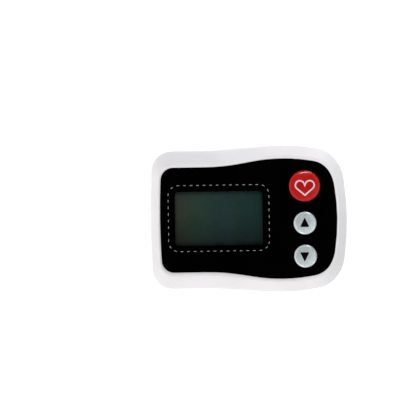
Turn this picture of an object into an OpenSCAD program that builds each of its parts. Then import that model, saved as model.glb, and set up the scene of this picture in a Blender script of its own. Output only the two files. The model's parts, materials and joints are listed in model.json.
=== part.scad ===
// Compact ambulatory heart recorder, lying on its back with the face up.
// +X runs from the display end to the button end, +Y is up as the user reads
// the display and +Z comes out of the face. z = 0 is the resting strip of the
// back, below the middle of the casing. All sizes are in millimetres.

/* [Casing] */
// Length from the display end to the button end
case_l = 78; // [76:0.5:90]
// Width at the bulge beside the buttons
bulge_w = 58.2; // [57:0.2:66]
// Width of the straight part beside the display
waist_w = 54.6; // [54:0.2:60]
// Distance of the bulge's widest point from the button end
bulge_inset = 23.6; // [20:0.2:28]
// Height of the crest of the rim, where it is lowest
case_h = 16.4; // [16.2:0.1:20]
// Height of the line where the two shells meet
parting_z = 9.3; // [9:0.1:10]
// Thickness of the side walls
wall = 1.8; // [1.4:0.1:2]
// Thickness of the back wall and of the battery door
back_wall = 1.6; // [1.4:0.1:1.8]
// Thickness of the wall under the face panel, where it is thinnest
face_wall = 1.5; // [1.2:0.1:1.8]
// Radius of the corners at the display end
corner_r = 7.9; // [6.6:0.1:9]
// Radius of the fillet round the back
back_edge_r = 5.5; // [4.5:0.1:6]
// Radius of the hollow of the face, which curves across the width
face_r = 240; // [180:5:400]
// Radius of the bulging back, which curves across the width
back_r = 170; // [140:5:300]
// Width of the flat strip that the back rests on
rest_strip = 16; // [10:1:20]
// Drop of the sloping border, from the lowest crest to its foot
border_drop = 2.7; // [2:0.1:3.4]
// Height of the tongue that keys the two shells together
tongue_h = 1.2; // [0.8:0.1:1.6]
// Clearance round the tongue
tongue_fit = 0.1; // [0.05:0.01:0.2]
// Width of the bevel on both shells' edges at that line
seam_bevel = 0.12; // [0.05:0.01:0.25]

/* [Face panel] */
// Width of the white border at both ends
border_end = 3.8; // [3.4:0.1:4.6]
// Width of the white border beside the display
border_waist = 6.5; // [6:0.1:7.5]
// Width of the white border beside the bulge
border_bulge = 5.3; // [5:0.1:6.5]
// Thickness of the face panel
panel_t = 1; // [0.8:0.05:1.2]
// Depth of the panel's face below the crest
panel_recess = 0.4; // [0.2:0.05:0.6]
// Gap round the edge of the panel
panel_fit = 0.1; // [0.05:0.01:0.2]
// Thickness of the adhesive sheet under the panel
adhesive_t = 0.15; // [0.1:0.01:0.25]
// Margin of the adhesive sheet inside the panel's edge
adhesive_margin = 1; // [0.5:0.1:2]

/* [Display] */
// Length of the clear window
window_l = 34.7; // [30:0.1:37]
// Width of the clear window
window_w = 21.3; // [18:0.1:21.8]
// Distance of the window from the panel's end
window_inset = 6; // [5:0.1:8]
// Height of the window's middle above the middle line
window_rise = 0.45; // [0:0.05:1]
// Width of the window lens's flange under the panel
lens_flange = 1.5; // [1:0.1:2]
// Thickness of the lens's flange
lens_flange_t = 0.4; // [0.3:0.05:0.5]
// Gap round the window lens
lens_fit = 0.05; // [0.03:0.01:0.1]
// Margin of the display glass round the clear window
glass_margin = 1; // [0.6:0.1:1.2]
// Width of the glass's connection ledge
glass_ledge = 2.4; // [2:0.1:3]
// Thickness of each of the display's two glass sheets
glass_t = 1; // [0.7:0.05:1.1]
// Thickness of the display's polariser film
polariser_t = 0.2; // [0.1:0.05:0.3]
// Thickness of the light guide behind the display
light_guide_t = 1; // [0.8:0.05:1.1]
// Wall of the frame that holds the display
lcd_frame_wall = 0.6; // [0.5:0.05:0.8]

/* [Buttons] */
// Distance of the buttons' line from the panel's button end
button_inset = 13; // [11:0.1:14]
// Height of the up button above the middle line
up_y = -1.9; // [-3:0.1:-1]
// Distance from the up button to the event button
event_pitch = 14.7; // [13.5:0.1:15]
// Distance from the up button to the down button
arrow_pitch = 13.1; // [12:0.1:13.4]
// Diameter of the event button
event_d = 12.2; // [11:0.1:13]
// Diameter of the up and down buttons
arrow_d = 8.9; // [8:0.1:9.6]
// Height of a button's rim above the panel
button_rise = 0.7; // [0.5:0.05:1]
// Height of the dome on a button above its rim
button_dome = 0.4; // [0.2:0.05:0.6]
// Width of the bevel round a button's top
button_bevel = 0.5; // [0.3:0.05:0.8]
// Travel of a button
button_travel = 0.5; // [0.3:0.05:0.6]
// Radial gap round a button
button_gap = 0.2; // [0.1:0.01:0.3]
// Width of the flange that keeps a button in
flange_w = 0.9; // [0.7:0.1:1.1]
// Thickness of the flange
flange_t = 0.6; // [0.5:0.05:0.8]
// Gap between the flange and the face wall above it
flange_gap = 0.1; // [0.05:0.01:0.2]
// Side of a switch's square case
switch_w = 4.5; // [4:0.1:5.2]
// Height of a switch's case
switch_h = 1.9; // [1.5:0.05:2]
// Diameter of a switch's plunger
plunger_d = 2.2; // [1.8:0.1:2.6]

/* [Circuit board] */
// Thickness of the circuit board
board_t = 1.2; // [0.8:0.1:1.2]
// Gap between the board and the side walls
board_gap = 0.5; // [0.3:0.05:1]
// Clearance round what passes through the board
board_fit = 0.3; // [0.2:0.05:0.5]

/* [Battery] */
// Diameter of the cell
cell_d = 10.5; // [9.6:0.1:10.6]
// Length of the cell's can
cell_l = 43.5; // [41:0.5:45]
// Diameter of the cell's positive nub
nub_d = 3.6; // [3:0.1:4.4]
// Length of the nub
nub_l = 1; // [0.8:0.1:1.4]
// Distance from the display end to the battery bay
bay_inset = 5.6; // [5.2:0.1:6.5]
// Clearance round the cell
cell_fit = 0.3; // [0.2:0.05:0.35]
// Thickness of the walls of the battery bay
bay_wall = 1; // [0.8:0.05:1.1]
// Length of the space for the spring
spring_l = 5; // [4:0.1:5.4]
// Diameter of the spring's wire
spring_wire = 0.5; // [0.4:0.05:0.6]
// Diameter of the spring's wide end
spring_d = 7; // [6:0.1:8]
// Turns of the spring
spring_turns = 4; // [3:1:5]
// Thickness of the contact plates
contact_t = 0.4; // [0.2:0.05:0.5]
// Clearance round the sliding door
door_fit = 0.15; // [0.1:0.01:0.2]
// Width of the lips on the door's long edges
door_lip = 0.8; // [0.6:0.05:0.9]
// Thickness of the lips
door_lip_t = 0.8; // [0.6:0.05:1]
// Height at which the lip on the door's outer edge starts
door_rail_z = 5; // [4.8:0.1:5.2]
// Thickness of the rail that carries that lip
door_rail_t = 0.7; // [0.5:0.05:0.8]
// Number of finger ridges on the door
grip_ridges = 5; // [3:1:7]

/* [Lead socket] */
// Width of the socket's mouth
socket_w = 12.4; // [10:0.1:13]
// Height of the socket's mouth
socket_h = 4.6; // [4.3:0.1:4.7]
// Depth of the socket
socket_depth = 8; // [7:0.1:9]
// Wall of the socket's housing
socket_wall = 0.5; // [0.4:0.05:0.6]
// Place of the socket's middle across the end
socket_y = 4; // [2:0.1:6]
// Number of contacts in the socket
contact_count = 10; // [6:1:12]
// Width of a contact
contact_w = 0.6; // [0.4:0.05:0.7]

/* [Fasteners] */
// Diameter of the case screws
screw_d = 2; // [1.6:0.1:2.2]
// Diameter of the case screws' heads
screw_head_d = 3.6; // [3.2:0.1:4]
// Height of the case screws' heads
screw_head_h = 1.3; // [1:0.1:1.6]
// Diameter of the bosses that the case screws go into
boss_d = 5.2; // [4.8:0.1:5.4]
// Diameter of the board screws
board_screw_d = 1.6; // [1.4:0.1:1.8]
// Diameter of the bosses that carry the board
board_boss_d = 4; // [3.6:0.1:4.2]
// Radial gap between a screw and its hole
screw_fit = 0.03; // [0.02:0.01:0.05]

/* [Hidden] */
$fn = 72;
eps = 0.01;
far = 200;

// Ends and middle lines of the casing
end_x = case_l / 2;
panel_end_x = end_x - border_end;
bulge_x = end_x - bulge_inset;
foot_z = case_h - border_drop;
tongue_t = wall / 2;

// Levels of the stack under the face, at the middle line
panel_z = case_h - panel_recess - panel_t;
floor_z = panel_z - adhesive_t;
ceiling_z = floor_z - face_wall;
lcd_t = polariser_t + 2 * glass_t + light_guide_t;
rim_z = ceiling_z - 0.3;
board_z = rim_z - lcd_t;

// Outlines, counter-clockwise from the button end. Each corner is its
// sharp point, its radius and the steps of its arc.
end_mid_steps = 4;
function mirrored(upper) =
  [for (i = [len(upper) - 1:-1:0]) [upper[i][0], -upper[i][1], upper[i][2], upper[i][3]]];
function closed_outline(button_end, upper, display_end) =
  concat([button_end], upper, [display_end], mirrored(upper));

case_corners = closed_outline(
  [end_x + 1.05, 0, 110, end_mid_steps],
  [
    [end_x - 1.7, bulge_w / 2 - 8.6, 15, 8],
    [end_x - 7.6, bulge_w / 2 - 2, 11, 8],
    [bulge_x + 1, bulge_w / 2 + 0.5, 80, 7],
    [-end_x + 25.4, waist_w / 2, 88, 4],
    [-end_x + 1, waist_w / 2, corner_r, 12]
  ],
  [-end_x - 0.35, 0, 300, end_mid_steps]
);
panel_corners = closed_outline(
  [panel_end_x + 0.9, 0, 80, end_mid_steps],
  [
    [panel_end_x - 1.6, bulge_w / 2 - border_bulge - 8.5, 15, 8],
    [panel_end_x - 4.8, bulge_w / 2 - border_bulge - 1.8, 9.3, 8],
    [bulge_x - 2.8, bulge_w / 2 - border_bulge + 0.9, 67, 7],
    [-panel_end_x + 25, waist_w / 2 - border_waist, 80, 4],
    [-panel_end_x + 0.7, waist_w / 2 - border_waist, corner_r - 2.9, 12]
  ],
  [-panel_end_x - 0.4, 0, 300, end_mid_steps]
);

function unit(v) = v / norm(v);
function point(c) = [c[0], c[1]];
function cross2(u, v) = u[0] * v[1] - u[1] * v[0];

function half_angle(before, corner, after) =
  acos(unit(point(before) - point(corner)) * unit(point(after) - point(corner))) / 2;

// The corners, with a radius made smaller where the legs beside it are too short
function fitted(corners) =
  let (
    count = len(corners),
    reach = [for (i = [0:count - 1])
      corners[i][2] / tan(half_angle(corners[(i + count - 1) % count], corners[i],
        corners[(i + 1) % count]))],
    room = [for (i = [0:count - 1])
      0.99 * norm(point(corners[(i + 1) % count]) - point(corners[i]))
        / (reach[i] + reach[(i + 1) % count])]
  )
  [for (i = [0:count - 1])
    let (c = corners[i])
    [c[0], c[1], c[2] * min(1, room[i], room[(i + count - 1) % count]), c[3]]];

// Points on the arc of one corner, each with its outward normal
function corner_arc(before, corner, after) =
  let (
    p = point(corner),
    u = unit(point(before) - p),
    v = unit(point(after) - p),
    half = half_angle(before, corner, after),
    centre = p + unit(u + v) * corner[2] / sin(half),
    side = cross2(v, u) < 0 ? -1 : 1,
    first = p + u * corner[2] / tan(half) - centre,
    start = atan2(first[1], first[0]),
    sweep = side * (180 - 2 * half)
  )
  [for (k = [0:corner[3]])
    let (a = start + sweep * k / corner[3], n = [cos(a), sin(a)])
    concat(centre + corner[2] * n, side * n)];

function arc_points(corners) =
  let (count = len(corners))
  [for (i = [0:count - 1])
    for (s = corner_arc(corners[(i + count - 1) % count], corners[i], corners[(i + 1) % count])) s];

case_line = arc_points(fitted(case_corners));
panel_line = arc_points(fitted(panel_corners));
line_count = len(case_line);

function inset(line, d) = [for (s = line) [s[0] - d * s[2], s[1] - d * s[3]]];

// Heights that follow the hollow of the face and the bulge of the back
function hollow(y) = y * y / (2 * face_r);
function bulge(y) = (y * y - pow(rest_strip / 2, 2)) / (2 * back_r);

// A closed skin over rings of equal point counts, from a first point to a last
module loft(rings, first, last) {
  n = len(rings[0]);
  points = concat([first], [for (r = rings) for (p = r) p], [last]);
  top = len(points) - 1;
  faces = concat(
    [for (i = [0:n - 1]) [0, 1 + i, 1 + (i + 1) % n]],
    [for (k = [0:len(rings) - 2]) for (i = [0:n - 1])
      let (a = 1 + k * n + i, b = 1 + k * n + (i + 1) % n)
      each [[a, b + n, b], [a, a + n, b + n]]],
    [for (i = [0:n - 1])
      let (k = 1 + (len(rings) - 1) * n)
      [top, k + (i + 1) % n, k + i]]
  );
  polyhedron(points, faces);
}

function flat_ring(d, z) = [for (p = inset(case_line, d)) concat(p, z)];

// Rings of the front's outer skin: border is 0 at the casing's edge and 1 at
// the panel's edge, rise is 0 at the foot of the border and 1 at its crest
function border_ring(border, rise, lift) =
  [for (i = [0:line_count - 1])
    let (
      p = (1 - border) * point(case_line[i]) + border * point(panel_line[i]),
      crest = case_h + hollow(p[1])
    )
    concat(p, foot_z + rise * (crest - foot_z) + lift)];

// Points of a fillet that is tangent to a-b and b-c, from a to c
function bend(a, b, c, steps) =
  [for (k = [0:steps])
    let (t = k / steps) (1 - t) * (1 - t) * a + 2 * t * (1 - t) * b + t * t * c];

draft = 0.04;
crest_at = 0.8;
foot = bend([draft, 0, -1.1], [draft, 0, 0], [0.26, 0.28, 0], 4);
crest = bend([0.66, 0.82, 0], [crest_at, 1, 0], [0.88, 1, -panel_recess * 0.4], 4);
panel_edge = [1.03, 1, -panel_recess];

front_outer = concat(
  [flat_ring(seam_bevel, parting_z), flat_ring(0, parting_z + seam_bevel)],
  [for (r = concat(foot, crest, [panel_edge])) border_ring(r[0], r[1], r[2])]
);

front_inner = [
  flat_ring(wall, ceiling_z),
  flat_ring(wall, parting_z + tongue_h + tongue_fit),
  flat_ring(wall - tongue_t - tongue_fit, parting_z + tongue_h + tongue_fit),
  flat_ring(wall - tongue_t - tongue_fit, parting_z)
];

// Rings of the back's skins, following the bulge of the back
function back_ring(d, z) =
  [for (p = inset(case_line, d)) concat(p, z + bulge(p[1]))];
back_draft = 0.5;
function back_fillet(skin) =
  [for (a = [0:15:90])
    let (r = back_edge_r - skin)
    back_ring(back_draft + skin + r * (1 - cos(a)), skin + r * (1 - sin(a)))];
function back_fill(skin) =
  let (last = inset(case_line, back_draft + back_edge_r))
  [for (share = [0.8, 0.6, 0.4, 0.2])
    [for (p = last) [p[0] * share, p[1] * share, skin + bulge(p[1] * share)]]];
function reversed(list) = [for (i = [len(list) - 1:-1:0]) list[i]];

back_outer = reversed(concat(
  [flat_ring(seam_bevel, parting_z), flat_ring(0, parting_z - seam_bevel)],
  back_fillet(0), back_fill(0)
));
back_tongue = [
  flat_ring(tongue_t, parting_z),
  flat_ring(tongue_t, parting_z + tongue_h),
  flat_ring(wall, parting_z + tongue_h)
];
back_inner = concat([flat_ring(wall, parting_z)], back_fillet(back_wall), back_fill(back_wall));

// The outer shape of the closed back, for cutting the door from it
module back_solid() {
  loft(back_outer, [0, 0, bulge(0)], [0, 0, parting_z]);
}

// A plate bent to the face's hollow, between two heights at the middle line
module hollow_plate(points, low, high) {
  intersection() {
    translate([0, 0, low - 1])
      linear_extrude(bulge_w / 4)
        polygon(points);
    translate([0, 0, case_h + face_r])
      rotate([0, 90, 0])
        difference() {
          cylinder(r = face_r + case_h - low, h = far, center = true, $fn = 360);
          cylinder(r = face_r + case_h - high, h = far + 1, center = true, $fn = 360);
        }
  }
}

// A rectangle with round corners, counter-clockwise
function round_rect(l, w, r) =
  [for (q = [0:3]) for (k = [0:6])
    let (
      a = 90 * q + 15 * k,
      sx = (q == 0 || q == 3) ? 1 : -1,
      sy = q < 2 ? 1 : -1
    )
    [sx * (l / 2 - r) + r * cos(a), sy * (w / 2 - r) + r * sin(a)]];

module plate(l, w, r, low, high) {
  translate([0, 0, low])
    linear_extrude(high - low)
      polygon(round_rect(l, w, r));
}

module slab(x0, x1, y0, y1, z0, z1) {
  translate([x0, y0, z0])
    cube([x1 - x0, y1 - y0, z1 - z0]);
}

module post(x, y, r, z0, z1) {
  translate([x, y, z0])
    cylinder(r = r, h = z1 - z0);
}

// Battery bay: the cell lies along the straight side wall, over the door
cell_r = cell_d / 2;
cell_y = -(waist_w / 2 - wall - back_draft - cell_fit - cell_r);
cell_z = bulge(cell_y) + back_wall + cell_fit + cell_r;
bay_x0 = -end_x + bay_inset;
nub_x = bay_x0 + contact_t;
can_x0 = nub_x + nub_l;
can_x1 = can_x0 + cell_l;
bay_x1 = can_x1 + spring_l + contact_t;
bay_y0 = cell_y - cell_r - cell_fit;
bay_y1 = cell_y + cell_r + cell_fit;
rail_h = 4;
rail_w = 1.2;

// Display: the window follows the panel's end, lies a little above the middle
// line or higher where the battery bay asks for it, and carries what lies under it
window_corner = 1;
opening_margin = 0.6;
frame_gap = 0.1;
bay_gap = 0.25;
window_x = -panel_end_x + window_inset + window_l / 2;
window_y = max(window_rise, bay_y1 + bay_wall + bay_gap + lcd_frame_wall + frame_gap + glass_margin
  + window_w / 2);
glass_x0 = window_x - window_l / 2 - glass_margin;
glass_x1 = window_x + window_l / 2 + glass_margin;
glass_y0 = window_y - window_w / 2 - glass_margin;
glass_y1 = window_y + window_w / 2 + glass_margin;
frame_y1 = glass_y1 + glass_ledge + frame_gap + lcd_frame_wall;
guide_top = board_z + light_guide_t;
ledge_top = guide_top + glass_t;
glass_top = ledge_top + glass_t;

// Buttons
button_x = panel_end_x - button_inset;
BUTTONS = [
  [button_x, up_y + event_pitch, event_d / 2],
  [button_x, up_y, arrow_d / 2],
  [button_x, up_y - arrow_pitch, arrow_d / 2]
];
flange_z = ceiling_z - flange_gap - flange_t;
bay_top = flange_z - button_travel - 0.3;
switch_top = board_z + switch_h;
plunger_sunk = 0.3;
plunger_fit = 0.05;
button_roof_t = 1.6;
button_wall = 1.2;
stem_margin = 0.4;
leg_w = 0.6;
leg_l = 0.9;
leg_t = 0.2;
leg_sunk = 0.1;

// Door
door_rail_foot = door_rail_z - 0.6;
door_block_x = bay_x0 - bay_wall;
door_top = door_rail_z + door_lip_t;
pocket_l = 1.1;
pocket_inset = 6;
pocket_floor = 1.2;
ridge_inset = 4;
ridge_h = 0.3;
ridge_pitch = 1.6;

// Lead socket, hung under the board behind the display end
board_low = board_z - board_t;
socket_x0 = -end_x + back_draft + back_wall + 1.5;
socket_x1 = socket_x0 + socket_depth;
mouth_z1 = board_low - socket_wall;
mouth_z0 = mouth_z1 - socket_h;
mouth_margin = 0.2;
socket_gap = 0.2;
rest_w = 3;
blade_t = 0.2;

// Fasteners
screw_seat = 4.5;
head_gap = 0.3;
post_wall = 1.2;
post_r = screw_head_d / 2 + head_gap + post_wall;
screw_l = ceiling_z - 1 - screw_seat;
screw_slot_w = 0.5;
screw_slot_t = 0.6;
case_screw_inset = 8;
case_screw_side = 8.9;
waist_screw_inset = 6.5;
waist_screw_side = 6.8;
CASE_SCREWS = [
  [-end_x + waist_screw_inset, waist_w / 2 - waist_screw_side],
  [end_x - case_screw_inset, bulge_w / 2 - case_screw_side],
  [end_x - case_screw_inset, -(bulge_w / 2 - case_screw_side)]
];

// The board is held in the strip beside the display, beside the bay and
// between the up button and the button end
board_screw_head_h = 1;
board_screw_grip = 2.8;
board_screw_rim = 0.7;
strip_y = (frame_y1 + waist_w / 2 - wall) / 2 + 0.2;
flex_inset = 8;
BOARD_SCREWS = [
  [window_x - window_l / 6, strip_y],
  [button_x - event_d / 2 - 2.6, strip_y],
  [button_x + arrow_d / 2 + flange_w + board_boss_d / 2 + 1, up_y],
  [-end_x + back_draft + wall + 2.8, bay_y1 + bay_wall + 3.4]
];

// Parts under the board: the memory and the buzzer keep to the button end,
// and the rest keep to the display end
board_mid_x = window_x + 3;
bay_side_y = bay_y1 + bay_wall;
processor_w = 10;
processor_h = 1.4;
processor_gap = 11.9;
processor_y = bay_side_y + processor_gap + processor_w / 2;
memory_l = 8;
memory_w = 12;
memory_h = 1.1;
memory_x = BOARD_SCREWS[1][0] - memory_l / 2 - 2.4;
memory_y = strip_y - board_screw_d / 2 - memory_w / 2;
amplifier_w = 6;
amplifier_h = 1;
amplifier_x = board_mid_x - 8;
amplifier_low_y = bay_side_y + 6.4;
amplifier_high_y = strip_y - 5.6;
crystal_r = 1;
crystal_l = 6;
crystal_y = bay_side_y + 7.4;
capacitor_l = 1.2;
capacitor_w = 2;
capacitor_h = 1;
capacitor_pitch = 2.4;
capacitor_x = board_mid_x + processor_w / 2 + 2.5;
capacitor_y = processor_y - 2 * capacitor_w;
buzzer_r = 4.5;
buzzer_h = 3.2;
buzzer_hole_r = 1;
buzzer_x = button_x + 2;
buzzer_y = up_y + 8.3;

// Casing

module front_shell() {
  color("whitesmoke")
    difference() {
      union() {
        loft(
          concat(front_inner, front_outer),
          [0, 0, ceiling_z],
          [0, 0, case_h - panel_recess]
        );
        for (s = CASE_SCREWS) post(s[0], s[1], boss_d / 2, parting_z, ceiling_z + eps);
        for (s = BOARD_SCREWS) post(s[0], s[1], board_boss_d / 2, board_z, ceiling_z + eps);
        translate([window_x, window_y, 0])
          plate(window_l + 2 * glass_margin, window_w + 2 * glass_margin, window_corner,
            rim_z, ceiling_z + eps);
      }
      hollow_plate(inset(panel_line, 0), floor_z, case_h + 3);
      translate([window_x, window_y, 0])
        plate(window_l + 2 * opening_margin, window_w + 2 * opening_margin, window_corner,
          rim_z - 1, case_h + 1);
      for (b = BUTTONS) post(b[0], b[1], b[2] + button_gap, ceiling_z - 1, case_h + 3);
      for (s = CASE_SCREWS)
        post(s[0], s[1], screw_d / 2 + screw_fit, parting_z - 1, ceiling_z);
      for (s = BOARD_SCREWS)
        post(s[0], s[1], board_screw_d / 2 + screw_fit, board_z - 1, ceiling_z);
      translate([can_x0 - 1, cell_y, cell_z])
        rotate([0, 90, 0])
          cylinder(r = cell_r + cell_fit, h = cell_l + spring_l);
    }
}

// The door's section across its length, grown by a gap on every side
function door_section(gap) =
  let (
    y0 = bay_y0 - gap,
    y1 = bay_y1 + gap,
    z1 = back_wall + bulge(bay_y1) + gap
  )
  concat(
    [[y0, -2], [y1, -2], [y1, z1 - door_lip_t - 2 * gap],
      [y1 + door_lip, z1 - door_lip_t - 2 * gap], [y1 + door_lip, z1]],
    [for (k = [0:6])
      let (y = bay_y1 + (cell_y - cell_r * 0.5 - bay_y1) * k / 6)
      [y, back_wall + bulge(y) + gap]],
    [[bay_y0 + door_rail_t + gap, door_rail_foot],
      [bay_y0 + door_rail_t + gap, door_top + gap],
      [y0 - door_lip / 2, door_top + gap],
      [y0 - door_lip / 2, door_rail_z - gap], [y0, door_rail_z - gap]]
  );

// The room that the door takes as it slides off over the display end
module door_path(gap) {
  translate([-far / 2, 0, 0])
    rotate([90, 0, 90])
      linear_extrude(bay_x1 + gap + far / 2)
        polygon(door_section(gap));
  door_end(gap);
}

module door_end(gap) {
  slab(-far / 2, door_block_x + gap, bay_y0 - door_lip / 2 - gap, bay_y1 + door_lip + gap,
    -2, door_top + gap);
}

module bay_walls() {
  x0 = bay_x0 - bay_wall;
  x1 = bay_x1 + bay_wall;
  y1 = bay_y1 + bay_wall;
  difference() {
    slab(x0, x1, -far / 2, y1, 0, bay_top);
    slab(bay_x0, bay_x1, -far / 2, bay_y1, -1, bay_top + 1);
  }
  slab(x0, x1, bay_y1, bay_y1 + door_lip + rail_w, 0, rail_h);
}

module back_shell() {
  color("whitesmoke")
    difference() {
      union() {
        loft(
          concat(back_outer, back_tongue, back_inner),
          [0, 0, bulge(0)],
          [0, 0, back_wall + bulge(0)]
        );
        intersection() {
          union() {
            bay_walls();
            for (s = CASE_SCREWS) post(s[0], s[1], post_r, 0, parting_z);
            for (side = [-1, 1])
              slab(socket_x0 + 1, socket_x1, socket_y + side * socket_w / 3 - rest_w / 2,
                socket_y + side * socket_w / 3 + rest_w / 2, 0, mouth_z0 - socket_wall);
          }
          back_solid();
        }
        intersection() {
          bay_walls();
          translate([0, 0, parting_z - 1])
            linear_extrude(bay_top)
              polygon(inset(case_line, wall + tongue_fit * 2));
        }
      }
      slab(socket_x0 - socket_gap, socket_x1 + socket_gap,
        socket_y - socket_w / 2 - socket_wall - socket_gap,
        socket_y + socket_w / 2 + socket_wall + socket_gap,
        mouth_z0 - socket_wall - socket_gap, board_low + 1);
      slab(glass_x0 - frame_gap - lcd_frame_wall - bay_gap / 2,
        glass_x1 + frame_gap + lcd_frame_wall + bay_gap / 2,
        glass_y0 - frame_gap - lcd_frame_wall - bay_gap / 2, frame_y1, board_low, far);
      for (s = CASE_SCREWS) {
        post(s[0], s[1], screw_head_d / 2 + head_gap, -1, screw_seat);
        post(s[0], s[1], screw_d / 2 + 0.15, -1, parting_z + 1);
      }
      door_path(door_fit);
      slab(-far / 2, socket_x0, socket_y - socket_w / 2 - mouth_margin,
        socket_y + socket_w / 2 + mouth_margin, mouth_z0 - mouth_margin,
        mouth_z1 + mouth_margin);
      translate([0, 0, -far / 2])
        cube(far, center = true);
    }
}

module battery_door() {
  color("whitesmoke")
    difference() {
      union() {
        intersection() {
          back_solid();
          union() {
            translate([door_block_x - eps, 0, 0])
              rotate([90, 0, 90])
                linear_extrude(bay_x1 - door_block_x)
                  polygon(door_section(0));
            door_end(0);
          }
        }
        intersection() {
          translate([0, 0, -ridge_h])
            back_solid();
          for (k = [0:grip_ridges - 1])
            translate([bay_x0 + ridge_inset + ridge_pitch * k, cell_y, back_wall / 2])
              cube([ridge_pitch / 2, cell_d * 0.7, back_wall + 2 * ridge_h], center = true);
        }
      }
      slab(door_block_x - pocket_l, door_block_x + 1, bay_y0 + pocket_inset, bay_y1 - 1,
        back_wall + pocket_floor, door_top + 1);
      translate([0, 0, -far / 2])
        cube(far, center = true);
    }
}

// Face

function window_rect(margin) =
  [for (p = round_rect(window_l + 2 * margin, window_w + 2 * margin, window_corner))
    [p[0] + window_x, p[1] + window_y]];

module face_panel() {
  color([0.02, 0.02, 0.03])
    difference() {
      hollow_plate(inset(panel_line, panel_fit), panel_z, panel_z + panel_t);
      hollow_plate(window_rect(lens_fit), panel_z - 1, panel_z + panel_t + 1);
      hollow_plate(window_rect(lens_flange + lens_fit), panel_z - 1,
        panel_z + lens_flange_t + lens_fit);
      for (b = BUTTONS) post(b[0], b[1], b[2] + button_gap, panel_z - 1, case_h + 3);
    }
}

module panel_adhesive() {
  color("gainsboro")
    difference() {
      hollow_plate(inset(panel_line, adhesive_margin), floor_z, panel_z);
      hollow_plate(window_rect(opening_margin), floor_z - 1, panel_z + 1);
      for (b = BUTTONS) post(b[0], b[1], b[2] + 2 * button_gap, floor_z - 1, case_h + 3);
    }
}

module display_window() {
  color([0.75, 0.85, 0.85, 0.4])
    union() {
      hollow_plate(window_rect(0), panel_z, panel_z + panel_t);
      hollow_plate(window_rect(lens_flange), panel_z, panel_z + lens_flange_t);
    }
}

// A button with its retaining flange, a hollow underside and a pressing stem
module button(b) {
  r = b[2];
  rim = case_h - panel_recess + hollow(b[1]) + button_rise;
  roof = rim - button_roof_t;
  stem_r = plunger_d / 2 + stem_margin;
  dome_r = r - button_bevel;
  dome_steps = 6;
  translate([b[0], b[1], 0])
    rotate_extrude()
      polygon(concat(
        [
          [0, flange_z], [stem_r, flange_z], [stem_r, roof],
          [r - button_wall, roof], [r - button_wall, flange_z], [r + flange_w, flange_z],
          [r + flange_w, flange_z + flange_t], [r, flange_z + flange_t], [r, rim - button_bevel]
        ],
        [for (k = [0:dome_steps])
          let (x = dome_r * (1 - k / dome_steps))
          [x, rim + button_dome * (1 - x * x / (dome_r * dome_r))]]
      ));
}

module event_button() {
  color([0.85, 0.08, 0.1])
    button(BUTTONS[0]);
}

module up_button() {
  color("silver")
    button(BUTTONS[1]);
}

module down_button() {
  color("silver")
    button(BUTTONS[2]);
}

// The part of a switch that moves with its button
module plunger(b) {
  post(b[0], b[1], plunger_d / 2, switch_top - plunger_sunk, flange_z);
}

module event_plunger() {
  color([0.1, 0.1, 0.1])
    plunger(BUTTONS[0]);
}

module up_plunger() {
  color([0.1, 0.1, 0.1])
    plunger(BUTTONS[1]);
}

module down_plunger() {
  color([0.1, 0.1, 0.1])
    plunger(BUTTONS[2]);
}

// The part of a switch that is soldered to the board
module switch_case(b) {
  well = plunger_sunk + button_travel + 0.2;
  difference() {
    union() {
      slab(b[0] - switch_w / 2, b[0] + switch_w / 2, b[1] - switch_w / 2, b[1] + switch_w / 2,
        board_z, switch_top);
      for (sx = [-1, 1]) for (sy = [-1, 1])
        translate([b[0] + sx * (switch_w / 2 + leg_l / 2 - leg_sunk), b[1] + sy * switch_w * 0.3,
            board_z + leg_t / 2])
          cube([leg_l, leg_w, leg_t], center = true);
    }
    post(b[0], b[1], plunger_d / 2 + plunger_fit, switch_top - well, switch_top + 1);
  }
}

module event_switch() {
  color([0.25, 0.25, 0.27])
    switch_case(BUTTONS[0]);
}

module up_switch() {
  color([0.25, 0.25, 0.27])
    switch_case(BUTTONS[1]);
}

module down_switch() {
  color([0.25, 0.25, 0.27])
    switch_case(BUTTONS[2]);
}

// Display

module lcd_polariser() {
  color([0.25, 0.29, 0.27])
    slab(glass_x0 + 0.3, glass_x1 - 0.3, glass_y0 + 0.3, glass_y1 - 0.3, glass_top,
      glass_top + polariser_t);
}

module lcd_glass() {
  color([0.35, 0.42, 0.4])
    union() {
      slab(glass_x0, glass_x1, glass_y0, glass_y1 + glass_ledge, guide_top, ledge_top);
      slab(glass_x0, glass_x1, glass_y0, glass_y1, ledge_top, glass_top);
    }
}

module lcd_light_guide() {
  color([0.9, 0.92, 0.88])
    slab(glass_x0, glass_x1, glass_y0, glass_y1 + glass_ledge, board_z, guide_top);
}

module lcd_frame() {
  x0 = glass_x0 - frame_gap;
  x1 = glass_x1 + frame_gap;
  y0 = glass_y0 - frame_gap;
  y1 = frame_y1 - lcd_frame_wall;
  w = lcd_frame_wall;
  color([0.15, 0.15, 0.16])
    difference() {
      slab(x0 - w, x1 + w, y0 - w, y1 + w, board_z, glass_top);
      slab(x0, x1, y0, y1, board_z - 1, glass_top + 1);
      slab(x0 + 4, x1 - 4, y1 - 1, y1 + w + 1, guide_top, glass_top + 1);
    }
}

module lcd_flex() {
  flex_t = 0.15;
  y0 = glass_y1 + 0.8;
  y1 = frame_y1 + 0.6;
  color([0.8, 0.5, 0.15])
    for (part = [
      [y0, y1, ledge_top, ledge_top + flex_t],
      [y1 - flex_t, y1, board_z, ledge_top + flex_t],
      [y1 - flex_t, y1 + 1.4, board_z, board_z + flex_t]
    ])
      slab(BOARD_SCREWS[0][0] + board_boss_d, glass_x1 - flex_inset, part[0], part[1],
        part[2], part[3]);
}

// Circuit board

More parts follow.
